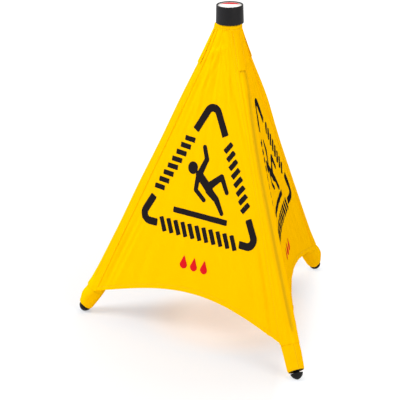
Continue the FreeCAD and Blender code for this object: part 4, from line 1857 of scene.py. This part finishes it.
@dataclass
class Foot(Placed):
    """A rubber foot: a dome worn flat at the floor, a waist, and a plug that fills the sleeve's end."""

    form: Form
    dome_r: float = 14.1
    dome_h: float = 13.2
    dome_point: float = 1.25
    lip: float = 1.6
    waist_r: float = 6.6
    plug_r: float = 14.0
    plug_start: float = 9.0
    plug_end: float = 16.0
    socket_r: float = 3.55
    socket_floor: float = 3.0

    def build(self) -> None:
        """Turn the profile about the leg's lower run, and press what is under the floor up to it."""
        turn = np.linspace(0.002, math.pi / 2, 26)
        dome = np.stack([self.dome_r * np.sin(turn) ** self.dome_point,
                         -self.dome_h * np.abs(np.cos(turn)) ** self.dome_point], -1)
        lip, waist, plug, socket = self.lip, self.waist_r, self.plug_r, self.socket_r
        rest = np.array([
            (self.dome_r, 0.3 * lip), (self.dome_r - 0.5, lip), (waist + 2.6, lip + 0.3),
            (waist + 0.6, lip + 0.9), (waist, lip + 2.2), (waist + 0.8, lip + 3.6),
            (plug - 1.5, self.plug_start), (plug, self.plug_start + 1.2), (plug, self.plug_end),
            (socket, self.plug_end), (socket, self.socket_floor), (0.03, self.socket_floor)])
        foot = revolved("foot_moulding_%d" % self.number, np.concatenate([dome, rest]), sides=64)
        places = np.empty(len(foot.data.vertices) * 3)
        foot.data.vertices.foreach_get("co", places)
        f = self.form
        up = -f.lower_dir
        axes = np.stack([np.cross(ACROSS, up), ACROSS, up])
        points = f.foot_centre + places.reshape(-1, 3) / MM @ axes
        points[:, 2] = np.maximum(points[:, 2], 0.0)
        foot.data.vertices.foreach_set("co", (self.placed(points) * MM).ravel())
        paint(foot, self.palette, Slot.RUBBER)
        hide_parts("foot_%d" % self.number)
        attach(foot, "leg_%d" % self.number)
        LOG.info("foot %d", self.number)


@dataclass
class Hardware:
    """The rigid pieces that keep their own shape and get their finish here."""

    nodes: dict[str, Piece]
    palette: Palette

    def dress(self) -> None:
        """Give each rigid node the material of its slot."""
        slots = {part["node"]: Slot(part["material_slot"]) for part in frame["record"]["subparts"]}
        for name, node in self.nodes.items():
            node.data.materials.clear()
            node.data.materials.append(self.palette[slots[name]])
            LOG.info("dressed %s", name)


# ---------------------------------------------------------------- stage
@dataclass
class Studio:
    """White floor, soft lights and the camera."""

    azimuth: float = 7.65
    elevation: float = 20.97
    roll: float = -0.79
    distance: float = 3.9053
    aim_across: float = -0.072
    aim_up: float = 0.2982
    lens: float = 151.72
    floor_half: float = 12.0
    painted_pool_reach: float = 2.4
    # Painted light on the floor in rings about the cap's axis: a darker painted pool of shade near the
    # sign, warm painted light at its middle, and near white far off.
    painted_pool: tuple[tuple[float, str], ...] = (
        (0.1, "#DACBBF"), (0.15, "#C7BCB3"), (0.22, "#B4B6B9"), (0.34, "#B3B5B9"), (0.45, "#B7B9BC"),
        (0.8, "#C6C6C7"), (2.4, "#F0F0F0"))
    # Towards +X, over this span, the painted light is lifted to a lighter, bluer colour, painted over the
    # sign's shadow there.
    painted_pool_side: Pair = (0.13, 0.2)
    painted_pool_side_colour: str = "#D4D8DC"
    floor_colour: str = "#F2F2F2"
    # Base colour that camera, glossy and transmission rays see: dimmed, so that the painted light makes up
    # the rest and the real shadow shows at about half strength.
    floor_seen: str = "#B1B1B1"
    floor_roughness: float = 0.8
    floor_gloss: float = 0.2
    surround: Pair = (0.3, 1.0)
    lamps: tuple[tuple[str, float, float, float, float, str], ...] = (
        ("key", 190.0, 36.0, 67.0, 1.5, "#FFFFFF"),
        ("fill", 318.0, 26.0, 37.0, 1.4, "#FFF8F0"),
        ("back", 72.0, 60.0, 34.0, 2.6, "#FFF6EC"))
    lamp_far: float = 2.8
    lamp_aim_z: float = 0.3

    def build(self) -> None:
        """Make the stage."""
        self.camera()
        self.floor()
        self.world()
        for lamp in self.lamps:
            self.lamp(*lamp)
        bpy.context.scene.view_settings.view_transform = "Standard"

    def camera(self) -> None:
        """Aim a long lens at the sign, tilted a little as a held camera is."""
        az, el, roll = (math.radians(a) for a in (self.azimuth, self.elevation, self.roll))
        back = Vector((math.sin(az) * math.cos(el), -math.cos(az) * math.cos(el), math.sin(el)))
        right = Vector((math.cos(az), math.sin(az), 0.0))
        up = back.cross(right)
        level = right * math.cos(roll) + up * math.sin(roll)
        upright = up * math.cos(roll) - right * math.sin(roll)
        data = bpy.data.cameras.new("camera")
        data.lens = self.lens
        made = add_object("camera", data)
        place = right * self.aim_across + Vector((0.0, 0.0, self.aim_up)) + back * self.distance
        made.matrix_world = Matrix.Translation(place) @ Matrix((level, upright, back)).transposed().to_4x4()
        bpy.context.scene.camera = made

    def lamp(self, name: str, azimuth: float, elevation: float, power: float, size: float,
             colour: str) -> None:
        """Add a square area lamp that shines at the sign from a direction.

        Args:
            name: object's name.
            azimuth: direction that the light comes from, in degrees.
            elevation: its height over the floor, in degrees.
            power: watts.
            size: side of the square, in metres.
            colour: sRGB hex colour.
        """
        data = bpy.data.lights.new(name, "AREA")
        data.energy, data.size, data.color = power, size, linear(colour)[:3]
        az, el = math.radians(azimuth), math.radians(elevation)
        way = Vector((math.cos(az) * math.cos(el), math.sin(az) * math.cos(el), math.sin(el)))
        made = add_object(name, data)
        made.location = way * self.lamp_far + Vector((0.0, 0.0, self.lamp_aim_z))
        made.rotation_euler = way.to_track_quat("Z", "Y").to_euler()

    def floor(self) -> None:
        """A white floor that fades into the surround, keeps the real shadow, and carries painted light.

        Its own light comes in rings of colour about the cap's axis: a painted pool of shade round the sign,
        with painted warm light at its middle. Towards +X it is nowhere darker than a lighter, bluer colour,
        painted over the sign's shadow there. Only camera, glossy and transmission rays see it.
        """
        half = self.floor_half / MM
        corners = np.array([[-half, -half, 0.0], [half, -half, 0.0], [half, half, 0.0], [-half, half, 0.0]])
        piece = make_mesh("studio_floor", corners, np.array([[0, 1, 2, 3]]))
        made, tree, shader = new_material("white_floor")
        seen = self.seen(tree)
        tint = mix(tree, seen, linear(self.floor_colour), linear(self.floor_seen))
        tree.links.new(tint, shader.inputs["Base Color"])
        shader.inputs["Roughness"].default_value = self.floor_roughness
        shader.inputs["Specular IOR Level"].default_value = self.floor_gloss
        place = add_node(tree, "ShaderNodeTexCoord").outputs["Object"]
        away = add_node(tree, "ShaderNodeVectorMath", {0: place}, operation="LENGTH").outputs["Value"]
        share = add_node(tree, "ShaderNodeMath", {0: away, 1: self.painted_pool_reach}, operation="DIVIDE")
        ramp = add_node(tree, "ShaderNodeValToRGB", {"Fac": share.outputs[0]})
        stops = ramp.color_ramp.elements
        stops.remove(stops[1])
        for place_m, colour in self.painted_pool:
            stops.new(place_m / self.painted_pool_reach).color = linear(colour)
        stops.remove(stops[0])
        # Lift the painted light towards +X, where the sign's real shadow falls.
        across = add_node(tree, "ShaderNodeSeparateXYZ", {0: place}).outputs["X"]
        side = add_node(tree, "ShaderNodeMapRange", {
            "Value": across, "From Min": self.painted_pool_side[0], "From Max": self.painted_pool_side[1]})
        painted_pool_colour = mix(tree, side.outputs["Result"], ramp.outputs["Color"], linear(self.painted_pool_side_colour),
                   blend="LIGHTEN")
        # The floor's painted light, seen only by camera, glossy and transmission rays.
        painted_pool = add_node(tree, "ShaderNodeEmission", {"Color": painted_pool_colour, "Strength": seen})
        both = add_node(tree, "ShaderNodeAddShader", {0: shader.outputs[0], 1: painted_pool.outputs[0]})
        tree.links.new(both.outputs[0], tree.nodes["Material Output"].inputs["Surface"])
        piece.data.materials.append(made)

    def world(self) -> None:
        """An even white surround: full white to the eye and in reflections, softer as a light."""
        world = bpy.data.worlds.new("studio")
        bpy.context.scene.world = world
        world.use_nodes = True
        tree = world.node_tree
        seen = self.seen(tree)
        strength = add_node(tree, "ShaderNodeMapRange", {
            "Value": seen, "To Min": self.surround[0], "To Max": self.surround[1]})
        tree.links.new(strength.outputs["Result"], tree.nodes["Background"].inputs["Strength"])
        tree.nodes["Background"].inputs["Color"].default_value = (1.0, 1.0, 1.0, 1.0)

    def seen(self, tree: Tree) -> Socket:
        """Tell the rays that show the stage from the rays that light the sign.

        Args:
            tree: node tree to add to.

        Returns:
            1 on camera, glossy and transmission rays, and 0 on the rest.
        """
        path = add_node(tree, "ShaderNodeLightPath").outputs
        first = add_node(tree, "ShaderNodeMath", {
            0: path["Is Camera Ray"], 1: path["Is Glossy Ray"]}, operation="ADD")
        both = add_node(tree, "ShaderNodeMath", {
            0: first.outputs[0], 1: path["Is Transmission Ray"]}, operation="ADD", use_clamp=True)
        return both.outputs[0]


def main() -> None:
    """Build the sign around the frame, then the stage."""
    form = Form.from_frame(frame)
    palette = Palette()
    Hardware(frame["nodes"], palette).dress()
    faces = {
        1: PanelSurface(form, mirrored=True, hollow=14.0),
        2: PanelSurface(form, hem_drop=11.0),
        3: PanelSurface(form, hollow=26.0),
    }
    for number, azimuth, legs in PANELS:
        CoverPanel(number, azimuth, palette, legs, faces[number]).build()
    drape = {
        1: {"end_gap": 6.5, "sleeve_bulge": 9.0, "bulge_fade": 22.0,
            "slack": ((250.0, 130.0, 9.0), (725.0, 34.0, 5.0))},
        2: {"end_gap": 3.4, "sleeve_bulge": 6.6, "casing_end_s": 743.0, "slack": ((738.0, 40.0, 3.2),)},
        3: {"end_gap": 3.6, "sleeve_end_r": 19.2, "seam_shade": 0.42, "seam_w": 5.0, "valley": 2.2,
            "valley_w": 4.0, "side_folds": ((-50.0, 0.8), (30.0, 0.5)),
            "seam_turns": ((120.0, 38.0), (158.0, 38.0), (197.0, 9.0), (235.0, -3.0), (290.0, -14.0),
                           (373.0, -16.0), (659.0, 5.0), (704.0, 11.0))},
    }
    for (number, azimuth), before in zip(LEG_AZIMUTHS.items(), (3, 1, 2)):
        LegCloth(number, azimuth, palette, form, (faces[before], faces[number]), **drape[number]).build()
    for number, azimuth in LEG_AZIMUTHS.items():
        TorsionSpring(number, azimuth, palette, form).build()
        Foot(number, azimuth, palette, form).build()
    Cap(palette).build()
    TopBand(form, palette, cap_mouth_z=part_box("cap")[0].z / MM).build()
    CapLabel(palette).build()
    Studio().build()


if __name__ == "__main__":
    logging.basicConfig(level=logging.INFO, format="%(message)s")
    main()
